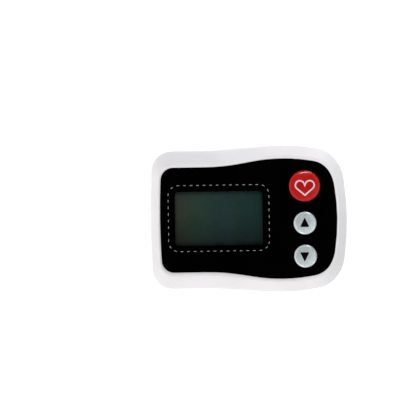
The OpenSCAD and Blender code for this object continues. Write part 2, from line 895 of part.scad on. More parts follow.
module main_board() {
  color([0.05, 0.35, 0.2])
    difference() {
      translate([0, 0, board_low])
        linear_extrude(board_t)
          polygon(inset(case_line, wall + board_gap));
      slab(-far, bay_x1 + bay_wall + board_fit, -far, bay_y1 + bay_wall + board_fit,
        board_low - 1, board_z + 1);
      for (s = CASE_SCREWS) post(s[0], s[1], post_r + board_fit, board_low - 1, board_z + 1);
      for (s = BOARD_SCREWS)
        post(s[0], s[1], board_screw_d / 2 + 0.15, board_low - 1, board_z + 1);
    }
}

// A chip under the board with a row of leads along two or four sides
module chip(x, y, l, w, h, leads, pitch, sides) {
  lead_w = pitch * 0.45;
  slab(x - l / 2, x + l / 2, y - w / 2, y + w / 2, board_low - h, board_low - leg_t / 2);
  for (side = sides)
    translate([x, y, 0])
      rotate(side)
        for (k = [0:leads - 1]) {
          reach = (side % 180 == 0 ? w : l) / 2;
          translate([(k - (leads - 1) / 2) * pitch, reach + leg_l / 2 - leg_sunk,
              board_low - leg_t / 2])
            cube([lead_w, leg_l, leg_t], center = true);
        }
}

module processor() {
  color([0.12, 0.12, 0.13])
    chip(board_mid_x, processor_y, processor_w, processor_w, processor_h, 12,
      processor_w * 0.07, [0, 90, 180, 270]);
}

module memory_chip() {
  color([0.12, 0.12, 0.13])
    chip(memory_x, memory_y, memory_l, memory_w, memory_h, 10, memory_w / 12, [90, 270]);
}

module heart_amplifiers() {
  color([0.12, 0.12, 0.13])
    for (y = [amplifier_low_y, amplifier_high_y])
      chip(amplifier_x, y, amplifier_w, amplifier_w, amplifier_h, 6, amplifier_w / 7.5,
        [0, 90, 180, 270]);
}

module crystal() {
  color("silver")
    translate([board_mid_x, crystal_y, board_low - crystal_r])
      rotate([0, 90, 0])
        cylinder(r = crystal_r, h = crystal_l, center = true);
}

module capacitors() {
  color([0.55, 0.42, 0.25])
    for (k = [0:5])
      translate([capacitor_x + capacitor_pitch * k, capacitor_y, board_low - capacitor_h / 2])
        cube([capacitor_l, capacitor_w, capacitor_h], center = true);
}

module buzzer() {
  color([0.1, 0.1, 0.1])
    difference() {
      post(buzzer_x, buzzer_y, buzzer_r, board_low - buzzer_h, board_low);
      post(buzzer_x, buzzer_y, buzzer_hole_r, board_low - buzzer_h - 1,
        board_low - buzzer_h / 2);
    }
}

// Battery

module battery_cell() {
  color([0.2, 0.45, 0.7])
    translate([can_x0, cell_y, cell_z])
      rotate([0, 90, 0])
        union() {
          cylinder(r = cell_r, h = cell_l);
          translate([0, 0, -nub_l])
            cylinder(r = nub_d / 2, h = nub_l + eps);
        }
}

module battery_contact() {
  color([0.8, 0.8, 0.78])
    slab(bay_x0, nub_x, cell_y - cell_r * 0.7, cell_y + cell_r * 0.7, cell_z - cell_r * 0.7,
      cell_z + cell_r * 0.7);
}

// The negative spring: one wire that winds from the cell out to its plate
module battery_spring() {
  wire_r = spring_wire / 2;
  ring_steps = 16;
  wire_sides = 6;
  x0 = can_x1 + wire_r;
  x1 = bay_x1 - contact_t - wire_r / 2;
  steps = ring_steps * spring_turns;
  top_r = 1.6;
  function centre(t) =
    let (a = 360 * spring_turns * t, r = top_r + (spring_d / 2 - wire_r - top_r) * t)
    [x0 + (x1 - x0) * t, cell_y + r * cos(a), cell_z + r * sin(a)];
  rings = [for (k = [0:steps])
    let (
      t = k / steps,
      along = unit(centre(t + 0.001) - centre(t - 0.001)),
      side = unit(cross([1, 0, 0], along)),
      up = cross(along, side)
    )
    [for (j = [0:wire_sides - 1])
      let (a = 360 * j / wire_sides)
      centre(t) + wire_r * (cos(a) * side + sin(a) * up)]];
  color([0.8, 0.8, 0.78]) {
    loft(rings, centre(0), centre(1));
    slab(bay_x1 - contact_t, bay_x1, cell_y - cell_r * 0.7, cell_y + cell_r * 0.7,
      cell_z - cell_r * 0.7, cell_z + cell_r * 0.7);
  }
}

// Lead socket

module lead_socket() {
  y0 = socket_y - socket_w / 2;
  y1 = socket_y + socket_w / 2;
  color([0.3, 0.3, 0.32])
    difference() {
      slab(socket_x0, socket_x1, y0 - socket_wall, y1 + socket_wall, mouth_z0 - socket_wall,
        board_low);
      slab(socket_x0 - 1, socket_x1 - 1, y0, y1, mouth_z0, mouth_z1);
      blade_slots(0.05);
    }
}

module blade_slots(gap) {
  pitch = socket_w / (contact_count + 1);
  for (k = [1:contact_count])
    slab(socket_x1 - 1 - gap, socket_x1 + 1,
      socket_y - socket_w / 2 + pitch * k - contact_w / 2 - gap,
      socket_y - socket_w / 2 + pitch * k + contact_w / 2 + gap,
      mouth_z0 - gap, mouth_z0 + blade_t + gap);
}

module lead_contacts() {
  pitch = socket_w / (contact_count + 1);
  color([0.85, 0.7, 0.3])
    for (k = [1:contact_count]) {
      y = socket_y - socket_w / 2 + pitch * k;
      slab(socket_x0 + 1, socket_x1 + 0.6, y - contact_w / 2, y + contact_w / 2, mouth_z0,
        mouth_z0 + blade_t);
      slab(socket_x1 + 0.6 - blade_t, socket_x1 + 0.6, y - contact_w / 2, y + contact_w / 2,
        mouth_z0, board_low);
    }
}

// Fasteners

module case_screws() {
  color("dimgray")
    for (s = CASE_SCREWS)
      difference() {
        union() {
          post(s[0], s[1], screw_head_d / 2, screw_seat - screw_head_h, screw_seat);
          post(s[0], s[1], screw_d / 2, screw_seat - eps, screw_seat + screw_l);
        }
        for (a = [0, 90])
          translate([s[0], s[1], screw_seat - screw_head_h])
            rotate(a)
              cube([screw_head_d * 0.55, screw_slot_w, 2 * screw_slot_t], center = true);
      }
}

module board_screws() {
  color("silver")
    for (s = BOARD_SCREWS)
      difference() {
        union() {
          post(s[0], s[1], board_screw_d / 2 + board_screw_rim, board_low - board_screw_head_h,
            board_low);
          post(s[0], s[1], board_screw_d / 2, board_low - eps, board_z + board_screw_grip);
        }
        for (a = [0, 90])
          translate([s[0], s[1], board_low - board_screw_head_h])
            rotate(a)
              cube([board_screw_d, screw_slot_w * 0.8, board_screw_head_h], center = true);
      }
}

front_shell();
back_shell();
face_panel();
panel_adhesive();
display_window();
event_button();
up_button();
down_button();
event_plunger();
up_plunger();
down_plunger();
event_switch();
up_switch();
down_switch();
lcd_polariser();
lcd_glass();
lcd_frame();
lcd_light_guide();
lcd_flex();
main_board();
processor();
memory_chip();
heart_amplifiers();
crystal();
capacitors();
buzzer();
battery_cell();
battery_spring();
battery_contact();
battery_door();
lead_socket();
lead_contacts();
case_screws();
board_screws();
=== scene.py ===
# %% [markdown]
# # Dressing an ambulatory heart recorder
#
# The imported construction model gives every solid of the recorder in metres: two white shells, a
# bent black face panel, three buttons, a display, a battery behind a sliding door and the board.
# This lesson keeps that frame as it is and gives each solid the surface, the edges and the print
# that the real product has. The recorder lies on its back, with its face towards +Z.

# %% Load the fixed frame
import json
import math

import bmesh
import bpy
from mathutils import Matrix, Vector


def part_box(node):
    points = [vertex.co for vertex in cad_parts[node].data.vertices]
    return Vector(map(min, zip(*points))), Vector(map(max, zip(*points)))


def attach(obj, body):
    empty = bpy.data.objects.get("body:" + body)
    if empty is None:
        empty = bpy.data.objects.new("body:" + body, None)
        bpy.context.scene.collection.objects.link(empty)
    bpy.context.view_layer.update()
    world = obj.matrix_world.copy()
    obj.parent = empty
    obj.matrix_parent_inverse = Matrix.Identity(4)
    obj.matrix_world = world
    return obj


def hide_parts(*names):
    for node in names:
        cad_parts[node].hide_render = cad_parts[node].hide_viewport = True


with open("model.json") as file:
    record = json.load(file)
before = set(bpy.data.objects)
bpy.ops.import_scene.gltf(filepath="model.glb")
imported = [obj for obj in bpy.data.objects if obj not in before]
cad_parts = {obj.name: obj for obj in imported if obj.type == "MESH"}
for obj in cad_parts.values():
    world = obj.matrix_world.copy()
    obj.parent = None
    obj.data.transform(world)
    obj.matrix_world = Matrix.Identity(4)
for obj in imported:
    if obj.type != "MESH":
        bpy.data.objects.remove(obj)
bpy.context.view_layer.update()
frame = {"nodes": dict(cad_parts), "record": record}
MM = 0.001

# %% [markdown]
# A product picture taken straight from above has almost no perspective, so the camera is a long
# lens far away. The recorder doesn't lie in the middle of the picture and is turned by less than
# one degree. A shifted lens could frame it too, but other views keep the shift, so the camera is
# moved and turned instead, and its shift stays at zero.

# %% Camera
PICTURE_W = 400  # pixels
MM_PER_PIXEL = 0.3963
FACE_CENTRE = (248.8, 219.1)  # the pixel at the middle of the recorder
CAMERA_FAR = 1.6  # metres above the table
RIM_LEVEL = 0.0137  # metres, the level at which the scale holds
ROLL = math.radians(-0.9)

camera_data = bpy.data.cameras.new("camera")
camera = bpy.data.objects.new("camera", camera_data)
bpy.context.scene.collection.objects.link(camera)
bpy.context.scene.camera = camera
picture_width = PICTURE_W * MM_PER_PIXEL * MM
camera_data.lens = camera_data.sensor_width * (CAMERA_FAR - RIM_LEVEL) / picture_width
across = (FACE_CENTRE[0] - PICTURE_W / 2) * MM_PER_PIXEL * MM
down = (FACE_CENTRE[1] - PICTURE_W / 2) * MM_PER_PIXEL * MM
spot = Matrix.Rotation(ROLL, 3, "Z") @ Vector((-across, down, 0))
camera.location = (spot.x, spot.y, CAMERA_FAR)
camera.rotation_euler = (0, 0, ROLL)
print("lens:", round(camera_data.lens), "mm")

# %% [markdown]
# Every finish below is written as its common name and the way its surface is made. Colours are
# given as the hex values that a screen shows, and one function turns them to the linear values
# that the shader wants. One more function adds a node with its settings and what feeds it, so a
# pattern reads as a short list of steps.


# %% Colour and node helpers
def linear(hex_value):
    """A screen colour such as #ede9ea as linear red, green, blue and alpha."""
    parts = [int(hex_value[i : i + 2], 16) / 255 for i in (1, 3, 5)]
    return [c / 12.92 if c <= 0.04045 else ((c + 0.055) / 1.055) ** 2.4 for c in parts] + [1]


def add(tree, kind, feeds=None, **settings):
    """One shader node; feeds gives a value or another node's output for each socket."""
    made = tree.nodes.new("ShaderNode" + kind)
    for name, value in settings.items():
        setattr(made, name, value)
    for socket, value in (feeds or {}).items():
        if isinstance(value, bpy.types.NodeSocket):
            tree.links.new(value, made.inputs[socket])
        else:
            made.inputs[socket].default_value = value
    return made


print("screen grey #808080 is linear", round(linear("#808080")[0], 3))

# %% [markdown]
# Nearly every surface here has two traits: a colour that isn't quite even, and a fine relief that
# also breaks up the gloss. Painted pictures could give both, but noise in object coordinates needs
# no unwrapping, keeps its real size and stays on a piece that moves. Stretching it gives the lines
# of drawn wire and rolled sheet.


# %% Finish, mottle and grain
def finish(name, roughness, metallic=0.0, ior=1.5, **sockets):
    """A new material with one Principled shader. Returns the material, its tree and shader."""
    material = bpy.data.materials.new(name)
    material.use_nodes = True
    tree = material.node_tree
    shader = tree.nodes["Principled BSDF"]
    shader.inputs["Roughness"].default_value = roughness
    shader.inputs["Metallic"].default_value = metallic
    shader.inputs["IOR"].default_value = ior
    for socket, value in sockets.items():
        shader.inputs[socket.replace("_", " ")].default_value = value
    return material, tree, shader


def mottle(tree, shader, low, high, size, stretch=(1, 1, 1)):
    """Colour that drifts between two shades over patches of a size in metres."""
    where = add(tree, "TexCoord").outputs["Object"]
    turned = add(tree, "Mapping", {"Vector": where, "Scale": stretch}).outputs[0]
    noise = add(tree, "TexNoise", {"Vector": turned, "Scale": 1 / size, "Detail": 2.0})
    ramp = add(tree, "ValToRGB", {"Fac": noise.outputs["Fac"]})
    for stop, place, shade in zip(ramp.color_ramp.elements, (0.35, 0.65), (low, high)):
        stop.position = place
        stop.color = linear(shade)
    tree.links.new(ramp.outputs["Color"], shader.inputs["Base Color"])


def grain(tree, shader, size, height, rough, stretch=(1, 1, 1)):
    """A relief of a grain size and height in metres, with the roughness of its lows and highs."""
    where = add(tree, "TexCoord").outputs["Object"]
    turned = add(tree, "Mapping", {"Vector": where, "Scale": stretch}).outputs[0]
    noise = add(tree, "TexNoise", {"Vector": turned, "Scale": 1 / size, "Detail": 3.0})
    bump = add(tree, "Bump", {"Height": noise.outputs["Fac"], "Distance": height})
    tree.links.new(bump.outputs["Normal"], shader.inputs["Normal"])
    spread = add(
        tree,
        "MapRange",
        {"Value": noise.outputs["Fac"], "To Min": rough[0], "To Max": rough[1]},
    )
    tree.links.new(spread.outputs["Result"], shader.inputs["Roughness"])


print("a grain of 0.3 mm is a noise scale of", round(1 / (0.3 * MM)), "per metre")

# %% [markdown]
# The casing is white ABS, injection moulded in a mould with a fine spark-eroded skin. The skin
# gives the eye a soft sheen with no mirror in it. Its true grain is near 0.05 mm, which no picture
# of the whole recorder shows, so it is drawn at 0.3 mm and very low.

# %% White casing
white_abs, tree, shader = finish("abs_white_spark_eroded", roughness=0.5, ior=1.53)
mottle(tree, shader, "#f0eced", "#f4f1f2", size=14 * MM)
grain(tree, shader, size=0.3 * MM, height=0.004 * MM, rough=(0.46, 0.56))
print("finish:", white_abs.name)

# %% [markdown]
# The face panel is acrylic sheet, printed black on its back and left polished in front, so it
# mirrors what is above it and shows no grain. Only the faint marks of a cloth, a few millimetres
# wide, break its gloss. Its mirror is a little weaker than acrylic's, to stay as black as pictured.

# %% Face panel finish
black_panel, tree, shader = finish(
    "acrylic_back_printed_black", roughness=0.06, ior=1.49, Specular_IOR_Level=0.3
)
mottle(tree, shader, "#000000", "#020202", size=20 * MM)
grain(
    tree, shader, size=2.5 * MM, height=0.0001 * MM, rough=(0.04, 0.09), stretch=(0.3, 1, 1)
)
print("finish:", black_panel.name)

# %% [markdown]
# White ink is screen printed on the panel and the red button, and black ink is pad printed on the
# silver ones. Both dry matt, so they read as flat colour beside the gloss around them. Real ink is
# uneven over about 0.05 mm, which is drawn at 0.12 mm.

# %% Inks
white_ink, tree, shader = finish("ink_white_screen_printed", roughness=0.4)
mottle(tree, shader, "#c3cecc", "#dfe6e4", size=0.5 * MM)
grain(tree, shader, size=0.12 * MM, height=0.002 * MM, rough=(0.35, 0.5))

# Almost no reflection is left on the black one, so the triangles stay dark in bright light.
black_ink, tree, shader = finish("ink_black_pad_printed", roughness=0.35, Specular_IOR_Level=0.04)
mottle(tree, shader, "#020203", "#060607", size=0.5 * MM)
grain(tree, shader, size=0.12 * MM, height=0.002 * MM, rough=(0.3, 0.45))
print("inks:", white_ink.name, black_ink.name)

# %% [markdown]
# The event button is solid red ABS with a polished top: a deep colour under a clear highlight. The
# two arrow buttons are ABS with a silver lacquer whose aluminium flakes sparkle, each lying at its
# own small tilt. A smooth metal shader would look like chrome, so cells stand for the flakes. Real
# ones are 0.02 to 0.05 mm across, and they are drawn at 0.34 mm to show at all.

# %% Button finishes
FLAKE, FLAKE_TILT = 0.34 * MM, 0.004 * MM

red_abs, tree, shader = finish("abs_red_polished", roughness=0.16, ior=1.53, Specular_IOR_Level=0.2)
mottle(tree, shader, "#b31117", "#c41c19", size=3 * MM)
grain(tree, shader, size=1.2 * MM, height=0.0015 * MM, rough=(0.12, 0.2))

silver_lacquer, tree, shader = finish("lacquer_silver_flake", roughness=0.3, metallic=0.3)
where = add(tree, "TexCoord").outputs["Object"]
flakes = add(tree, "TexVoronoi", {"Vector": where, "Scale": 1 / FLAKE})
tone = add(tree, "ValToRGB", {"Fac": flakes.outputs["Color"]})
tone.color_ramp.elements[0].color = linear("#b6c1c3")
tone.color_ramp.elements[1].color = linear("#dfe8ea")
tree.links.new(tone.outputs["Color"], shader.inputs["Base Color"])
tilt = add(tree, "Bump", {"Height": flakes.outputs["Distance"], "Distance": FLAKE_TILT})
tree.links.new(tilt.outputs["Normal"], shader.inputs["Normal"])
print("button finishes:", red_abs.name, silver_lacquer.name)

# %% [markdown]
# A switched-off liquid crystal display is a dark green-grey. Its left side, where the light comes
# from, is painted lighter and browner, so the ramp holds the film's colour and painted light. The
# tint belongs to the view as a whole, so a Mapping node centres the coordinates on the window and
# brings its edges to -1 and 1, and a ramp across them carries five measured shades. Noise bends the
# ramp a little, as no film is quite even.

# %% The display's tint and painted side light
LENS_FLANGE = 1.5 * MM
DRIFT = 7 * MM
window_low, window_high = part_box("display_window")
view_centre = (window_low + window_high) / 2
view_half = (window_high - window_low) / 2 - Vector((LENS_FLANGE, LENS_FLANGE, 0))

polariser, tree, shader = finish("polariser_film_unlit", roughness=0.3)
where = add(tree, "TexCoord").outputs["Object"]
centred = add(
    tree,
    "Mapping",
    {
        "Vector": where,
        "Location": (-view_centre.x / view_half.x, -view_centre.y / view_half.y, 0),
        "Scale": (1 / view_half.x, 1 / view_half.y, 1),
    },
)
axes = add(tree, "SeparateXYZ", {"Vector": centred.outputs[0]})
drift = add(tree, "TexNoise", {"Vector": where, "Scale": 1 / DRIFT, "Detail": 1.0})
side = add(
    tree,
    "Math",
    {0: drift.outputs["Fac"], 1: 0.5, 2: axes.outputs["X"]},
    operation="MULTIPLY_ADD",
)
# Painted light: the ramp is lighter and browner to the left, where the light comes from.
tint_with_painted_light = add(tree, "MapRange", {"Value": side.outputs[0], "From Min": -0.85, "From Max": 1.2})
film = add(tree, "ValToRGB", {"Fac": tint_with_painted_light.outputs["Result"]})
film.color_ramp.elements[0].color = linear("#605d4d")
film.color_ramp.elements[1].color = linear("#2b5150")
for place, shade_hex in ((0.3, "#43604f"), (0.55, "#395556"), (0.8, "#33534d")):
    film.color_ramp.elements.new(place).color = linear(shade_hex)
print("half view:", [round(c / MM, 2) for c in view_half.xy], "mm")

# %% [markdown]
# The frame in front of the display throws a soft shade on its edges, deepest at the foot. A lamp
# can't draw it, because the gap is under a millimetre, so it is part of the film's colour: one
# ramp at the ends, one at both long edges and one up from the foot, multiplied together.

# %% The shade of the frame
edge_x = add(tree, "Math", {0: axes.outputs["X"]}, operation="ABSOLUTE")
edge_y = add(tree, "Math", {0: axes.outputs["Y"]}, operation="ABSOLUTE")
near_x = add(
    tree,
    "MapRange",
    {"Value": edge_x.outputs[0], "From Min": 1.0, "From Max": 0.95, "To Min": 0.4},
)
near_y = add(
    tree,
    "MapRange",
    {"Value": edge_y.outputs[0], "From Min": 1.0, "From Max": 0.85, "To Min": 0.3},
)
foot_y = add(
    tree,
    "MapRange",
    {"Value": axes.outputs["Y"], "From Min": -1.0, "From Max": 0.6, "To Min": 0.5},
    interpolation_type="SMOOTHSTEP",
)
ends = add(
    tree, "Math", {0: near_x.outputs["Result"], 1: near_y.outputs["Result"]}, operation="MULTIPLY"
)
shade = add(
    tree, "Math", {0: ends.outputs[0], 1: foot_y.outputs["Result"]}, operation="MULTIPLY"
)
# Sockets 6 and 7 are the two colours of a Mix node, and its output 2 is the mixed colour.
shaded = add(
    tree,
    "Mix",
    {"Factor": shade.outputs[0], 6: linear("#0c1516"), 7: film.outputs["Color"]},
    data_type="RGBA",
)
tree.links.new(shaded.outputs[2], shader.inputs["Base Color"])
print("finish:", polariser.name, "with", len(tree.nodes), "nodes")

# %% [markdown]
# Three more clear layers make up the display. Each is a different glass-like stuff, so each gets
# its own: the lens must vanish but for its glints, the display glass shows only as a faint green
# edge, and the light guide is frosted by printed dots until it looks like milk.

# %% Clear layers
lens_acrylic, tree, shader = finish(
    "acrylic_clear_polished", roughness=0.02, ior=1.49, Transmission_Weight=1.0
)
mottle(tree, shader, "#f0f6f5", "#fbfdfd", size=10 * MM)

display_glass, tree, shader = finish(
    "glass_thin_float", roughness=0.05, ior=1.52, Transmission_Weight=0.8
)
mottle(tree, shader, "#93a59f", "#a2b1aa", size=8 * MM)

# The dots are about 0.2 mm, drawn as patches of 0.8 mm.
light_guide, tree, shader = finish("acrylic_frosted_dots", roughness=0.45)
mottle(tree, shader, "#dfe5dc", "#eef1ea", size=0.8 * MM)
print("clear layers:", lens_acrylic.name, display_glass.name, light_guide.name)

# %% [markdown]
# The parts inside each get the finish of the real one too, because the battery and the lead
# socket show when the door slides off, and the others in a cut-away view. Plain grey would do for
# a drawing, but a reader tells a switch from a chip by its material. Moulded and fired grains are
# really 0.02 to 0.06 mm, and are drawn two to five times as coarse.

# %% Moulded and fired plastics
# Dull black with a fine grain, for frames, plungers and the buzzer.
black_plastic, tree, shader = finish("polyamide_black_moulded", roughness=0.5)
mottle(tree, shader, "#131314", "#1b1b1d", size=1.5 * MM)
grain(tree, shader, size=0.15 * MM, height=0.004 * MM, rough=(0.42, 0.6))

# Greyer and drier, because short glass fibres reach the surface.
socket_plastic, tree, shader = finish("polyester_glass_filled_grey", roughness=0.55)
mottle(tree, shader, "#2d2d30", "#38383b", size=0.7 * MM)
grain(tree, shader, size=0.15 * MM, height=0.006 * MM, rough=(0.45, 0.65))

# Chips are cast in sandy black epoxy that hardly shines.
chip_epoxy, tree, shader = finish("epoxy_moulding_compound", roughness=0.6)
mottle(tree, shader, "#1c1c1e", "#262628", size=0.5 * MM)
grain(tree, shader, size=0.1 * MM, height=0.005 * MM, rough=(0.5, 0.7))

# Fired ceramic is a dry, even tan.
ceramic, tree, shader = finish("ceramic_fired_tan", roughness=0.55)
mottle(tree, shader, "#a98a63", "#bd9d74", size=0.4 * MM)
print("plastics:", black_plastic.name, socket_plastic.name, chip_epoxy.name, ceramic.name)

# %% [markdown]
# Films and foils have a lengthwise look, from the roll that they come off or the way they shrink.
# The same noise gives it when it is stretched along one axis. The board is drawn by a brick
# pattern, whose joints are the copper tracks under the green mask, 1.27 mm apart as on real boards.

# %% Films and the circuit board
TRACK_PITCH, TRACK_LENGTH, TRACK_WIDTH = 1.27, 7.62, 0.07  # millimetres, as the scale says

# Pale foam tape, dull and slightly uneven.
adhesive, tree, shader = finish("adhesive_film_acrylic_foam", roughness=0.7)
mottle(tree, shader, "#c9c9c9", "#dadada", size=0.6 * MM)

# Amber film with a sheen along its length.
flex_film, tree, shader = finish("polyimide_film_amber", roughness=0.3)
mottle(tree, shader, "#b5701f", "#c98330", size=2 * MM, stretch=(1, 0.1, 1))

# Green lacquer, glossy over the tracks.
board_mask, tree, shader = finish("solder_mask_green", roughness=0.32)
traces = add(
    tree,
    "TexBrick",
    {
        "Vector": add(tree, "TexCoord").outputs["Object"],
        "Scale": 1 / MM,
        "Brick Width": TRACK_LENGTH,
        "Row Height": TRACK_PITCH,
        "Mortar Size": TRACK_WIDTH,
        "Color1": linear("#0c5a32"),
        "Color2": linear("#0f6238"),
        "Mortar": linear("#177746"),
    },
)
tree.links.new(traces.outputs["Color"], shader.inputs["Base Color"])
grain(tree, shader, size=0.9 * MM, height=0.01 * MM, rough=(0.26, 0.4), stretch=(1, 0.2, 1))

# Blue film shrunk tight, with long soft waves in its gloss.
cell_wrap, tree, shader = finish("film_shrunk_blue", roughness=0.28)
mottle(tree, shader, "#1d5795", "#2a69a8", size=5 * MM)
grain(tree, shader, size=1.5 * MM, height=0.01 * MM, rough=(0.22, 0.34), stretch=(1, 0.2, 0.2))
print("films:", adhesive.name, flex_film.name, board_mask.name, cell_wrap.name)

# %% [markdown]
# The metals differ in tint and in the marks of their making: plated spring steel is warm and drawn
# lengthwise, gold is a thin even wash, zinc is bluish with dull crystals, and rolled stainless
# sheet is cool with fine lines. A picture of each would be too large a tool for parts this small,
# so tint and stretched noise do it. Their lines, really 0.02 to 0.05 mm, are drawn coarser.

# %% Metals
nickel, tree, shader = finish("nickel_plated_spring_steel", roughness=0.3, metallic=1.0)
mottle(tree, shader, "#c9c6bf", "#d8d6d0", size=0.8 * MM)
grain(tree, shader, size=0.2 * MM, height=0.002 * MM, rough=(0.22, 0.38), stretch=(0.1, 1, 1))

gold, tree, shader = finish("gold_flash_plated", roughness=0.25, metallic=1.0)
mottle(tree, shader, "#e3b963", "#efcb7c", size=0.6 * MM)

zinc, tree, shader = finish("zinc_plated_steel", roughness=0.38, metallic=1.0)
mottle(tree, shader, "#b2b4b8", "#c3c5c9", size=0.5 * MM)
grain(tree, shader, size=0.15 * MM, height=0.004 * MM, rough=(0.3, 0.48))

switch_steel, tree, shader = finish("stainless_rolled_sheet", roughness=0.32, metallic=1.0)
mottle(tree, shader, "#b9babd", "#c9cacc", size=0.6 * MM)
grain(tree, shader, size=0.3 * MM, height=0.002 * MM, rough=(0.25, 0.4), stretch=(0.1, 1, 1))
print("metals:", nickel.name, gold.name, zinc.name, switch_steel.name)

# %% [markdown]
# The record names a material slot for every node. One table ties each slot to its finish, and
# every construction solid takes its own at once. Most are replaced by finished pieces below, but
# the ones that stay, such as the board, are then never bare.

# %% Finishes on the construction solids
FINISHES = {
    "white_abs": white_abs,
    "black_panel": black_panel,
    "adhesive": adhesive,
    "clear_window": lens_acrylic,
    "red_abs": red_abs,
    "silver_abs": silver_lacquer,
    "black_plastic": black_plastic,
    "switch_metal": switch_steel,
    "display_film": polariser,
    "display_glass": display_glass,
    "light_guide": light_guide,
    "flex_film": flex_film,
    "circuit_board": board_mask,
    "chip_epoxy": chip_epoxy,
    "ceramic": ceramic,
    "cell_wrap": cell_wrap,
    "nickel_plate": nickel,
    "socket_plastic": socket_plastic,
    "gold_plate": gold,
    "screw_steel": zinc,
    "white_ink": white_ink,
    "black_ink": black_ink,
}
SLOT_OF = {s["node"]: s["material_slot"] for s in frame["record"]["subparts"]}
BODY_OF = {n: b for b, names in frame["record"]["behaviour"]["bodies"].items() for n in names}
for name, solid in frame["nodes"].items():
    solid.data.materials.clear()
    solid.data.materials.append(FINISHES[SLOT_OF[name]])
print("finishes:", len(FINISHES))

# %% [markdown]
# A construction mesh comes as loose triangles with a hard edge between each two. To shade a
# moulded shell smoothly, a copy is merged at its corners, and only true edges are kept hard. The
# copy then stands for the node, which is hidden but stays in the scene. The copy then stands for
# the node, while the node itself stays for collision. Every finished piece goes through one
# function, so none lacks its body, its slot or its finish.


# %% Helpers for pieces
SAME_POINT = 0.0005 * MM


def merged(node):
    """A bmesh of a node's solid with its loose corners joined."""
    bm = bmesh.new()
    bm.from_mesh(frame["nodes"][node].data)
    bmesh.ops.remove_doubles(bm, verts=bm.verts, dist=SAME_POINT)
    return bm


def piece(name, bm, slot, body, hard=28, stands_for=()):
    """The finished object, on its body and with its finish. It is smooth but for the edges that
    turn by more than hard, in degrees."""
    mesh = bpy.data.meshes.new(name)
    bm.to_mesh(mesh)
    bm.free()
    mesh.shade_smooth()
    mesh.set_sharp_from_angle(angle=math.radians(hard))
    mesh.materials.append(FINISHES[slot])
    made = bpy.data.objects.new(name, mesh)
    bpy.context.scene.collection.objects.link(made)
    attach(made, body)
    if stands_for:
        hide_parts(*stands_for)
    print(name, len(mesh.polygons), "faces")


# %% [markdown]
# The two shells and the door are thin mouldings with ribs, bosses and rails. They could be
# modelled again here, but the construction model already has all of it to size, so their merged
# copies only need smooth rounds and crisp corners.

# %% Shells and door
for node in ("front_shell", "back_shell", "battery_door"):
    piece(node + "_moulding", merged(node), SLOT_OF[node], BODY_OF[node], stands_for=[node])

# %% [markdown]
# The panel is cut from sheet and its edge is broken with a small radius, which catches the light
# as a thin line. A Bevel modifier would round the sheet's underside too, so the edges of the upper
# face are picked by their level: the sheet is bent hollow, so that level changes over the width.


# %% Face panel
FACE_RADIUS = 240 * MM
PANEL_EDGE = 0.12 * MM
LEVEL_MARGIN = 0.25 * MM
SHARP_CORNER = math.radians(50)


def face_level(point):
    """A height just under the panel's upper face, which is hollow across the width."""
    return window_high.z - LEVEL_MARGIN + point.y**2 / (2 * FACE_RADIUS)


def break_edges(bm, edges, width, clamp=False):
    """Rounds edges by a small width."""
    bmesh.ops.bevel(
        bm,
        geom=edges,
        offset=width,
        offset_type="OFFSET",
        segments=2,
        profile=0.5,
        affect="EDGES",
        clamp_overlap=clamp,
        material=-1,
    )


bm = merged("face_panel")
bmesh.ops.dissolve_limit(bm, angle_limit=math.radians(0.2), verts=bm.verts, edges=bm.edges)
top_edges = [
    e
    for e in bm.edges
    if len(e.link_faces) == 2
    and e.calc_face_angle(0) > SHARP_CORNER
    and all(v.co.z > face_level(v.co) for v in e.verts)
]
break_edges(bm, top_edges, PANEL_EDGE)
piece("face_panel_plate", bm, "black_panel", "recorder", hard=12, stands_for=["face_panel"])

# %% [markdown]
# A button is a turned shape: one profile, spun once round. Stacked cylinders could give its steps
# but not the soft run from dome to skirt, which is where the light lies. Soft corners of the
# profile are curves through three points.


# %% Turned shapes
def turned(profile, place, steps):
    """A closed profile of radius and height, spun round its own axis and put in its place."""
    bm = bmesh.new()
    ring = [bm.verts.new((r, 0, z)) for r, z in profile]
    edges = [bm.edges.new((a, b)) for a, b in zip(ring, ring[1:])]
    bmesh.ops.spin(
        bm,
        geom=ring + edges,
        cent=(0, 0, 0),
        axis=(0, 0, 1),
        angle=2 * math.pi,
        steps=steps,
        use_merge=True,
    )
    bmesh.ops.remove_doubles(bm, verts=bm.verts, dist=SAME_POINT)
    bmesh.ops.recalc_face_normals(bm, faces=bm.faces)
    bmesh.ops.transform(bm, matrix=place, verts=bm.verts)
    return bm


def rounded(start, corner, end, steps):
    """Points of a soft corner between two points, each a radius and a height."""
    points = []
    for k in range(steps + 1):
        t = k / steps
        points.append(
            tuple(
                (1 - t) ** 2 * a + 2 * t * (1 - t) * b + t**2 * c
                for a, b, c in zip(start, corner, end)
            )
        )
    return points


print("a soft corner from (0, 1) to (1, 0) passes", rounded((0, 1), (1, 1), (1, 0), 2)[1])

# %% [markdown]
# The profile of a button starts at the middle of the dome, runs over the bevel and down the skirt
# to the flange that keeps the button in, and comes back up inside to the stem that presses the
# switch. Its size is read from the node, so that it fits its hole, and the rest is named here.

# %% Buttons
DOME = 0.4 * MM
BEVEL = 0.5 * MM
FLANGE_W, FLANGE_T = 0.9 * MM, 0.6 * MM
SKIRT_WALL = 1.2 * MM
ROOF_T = 1.6 * MM
STEM_R = 1.5 * MM
CHAMFER_IN, CHAMFER_DOWN, SKIRT_DOWN = 0.1 * MM, 0.26 * MM, 0.5 * MM
DOME_STEPS, CORNER_STEPS, ROUND_STEPS = 12, 4, 96


def button_place(node):
    """A button's middle, its radius, its top and the underside of its flange."""
    low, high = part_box(node)
    middle = Vector(((low.x + high.x) / 2, (low.y + high.y) / 2, 0))
    return middle, (high.x - low.x) / 2 - FLANGE_W, high.z, low.z


def dome_height(node, away):
    """Height of a button's dome at a distance from its middle."""
    r, top = button_place(node)[1:3]
    return top - DOME * (away / (r - BEVEL)) ** 2


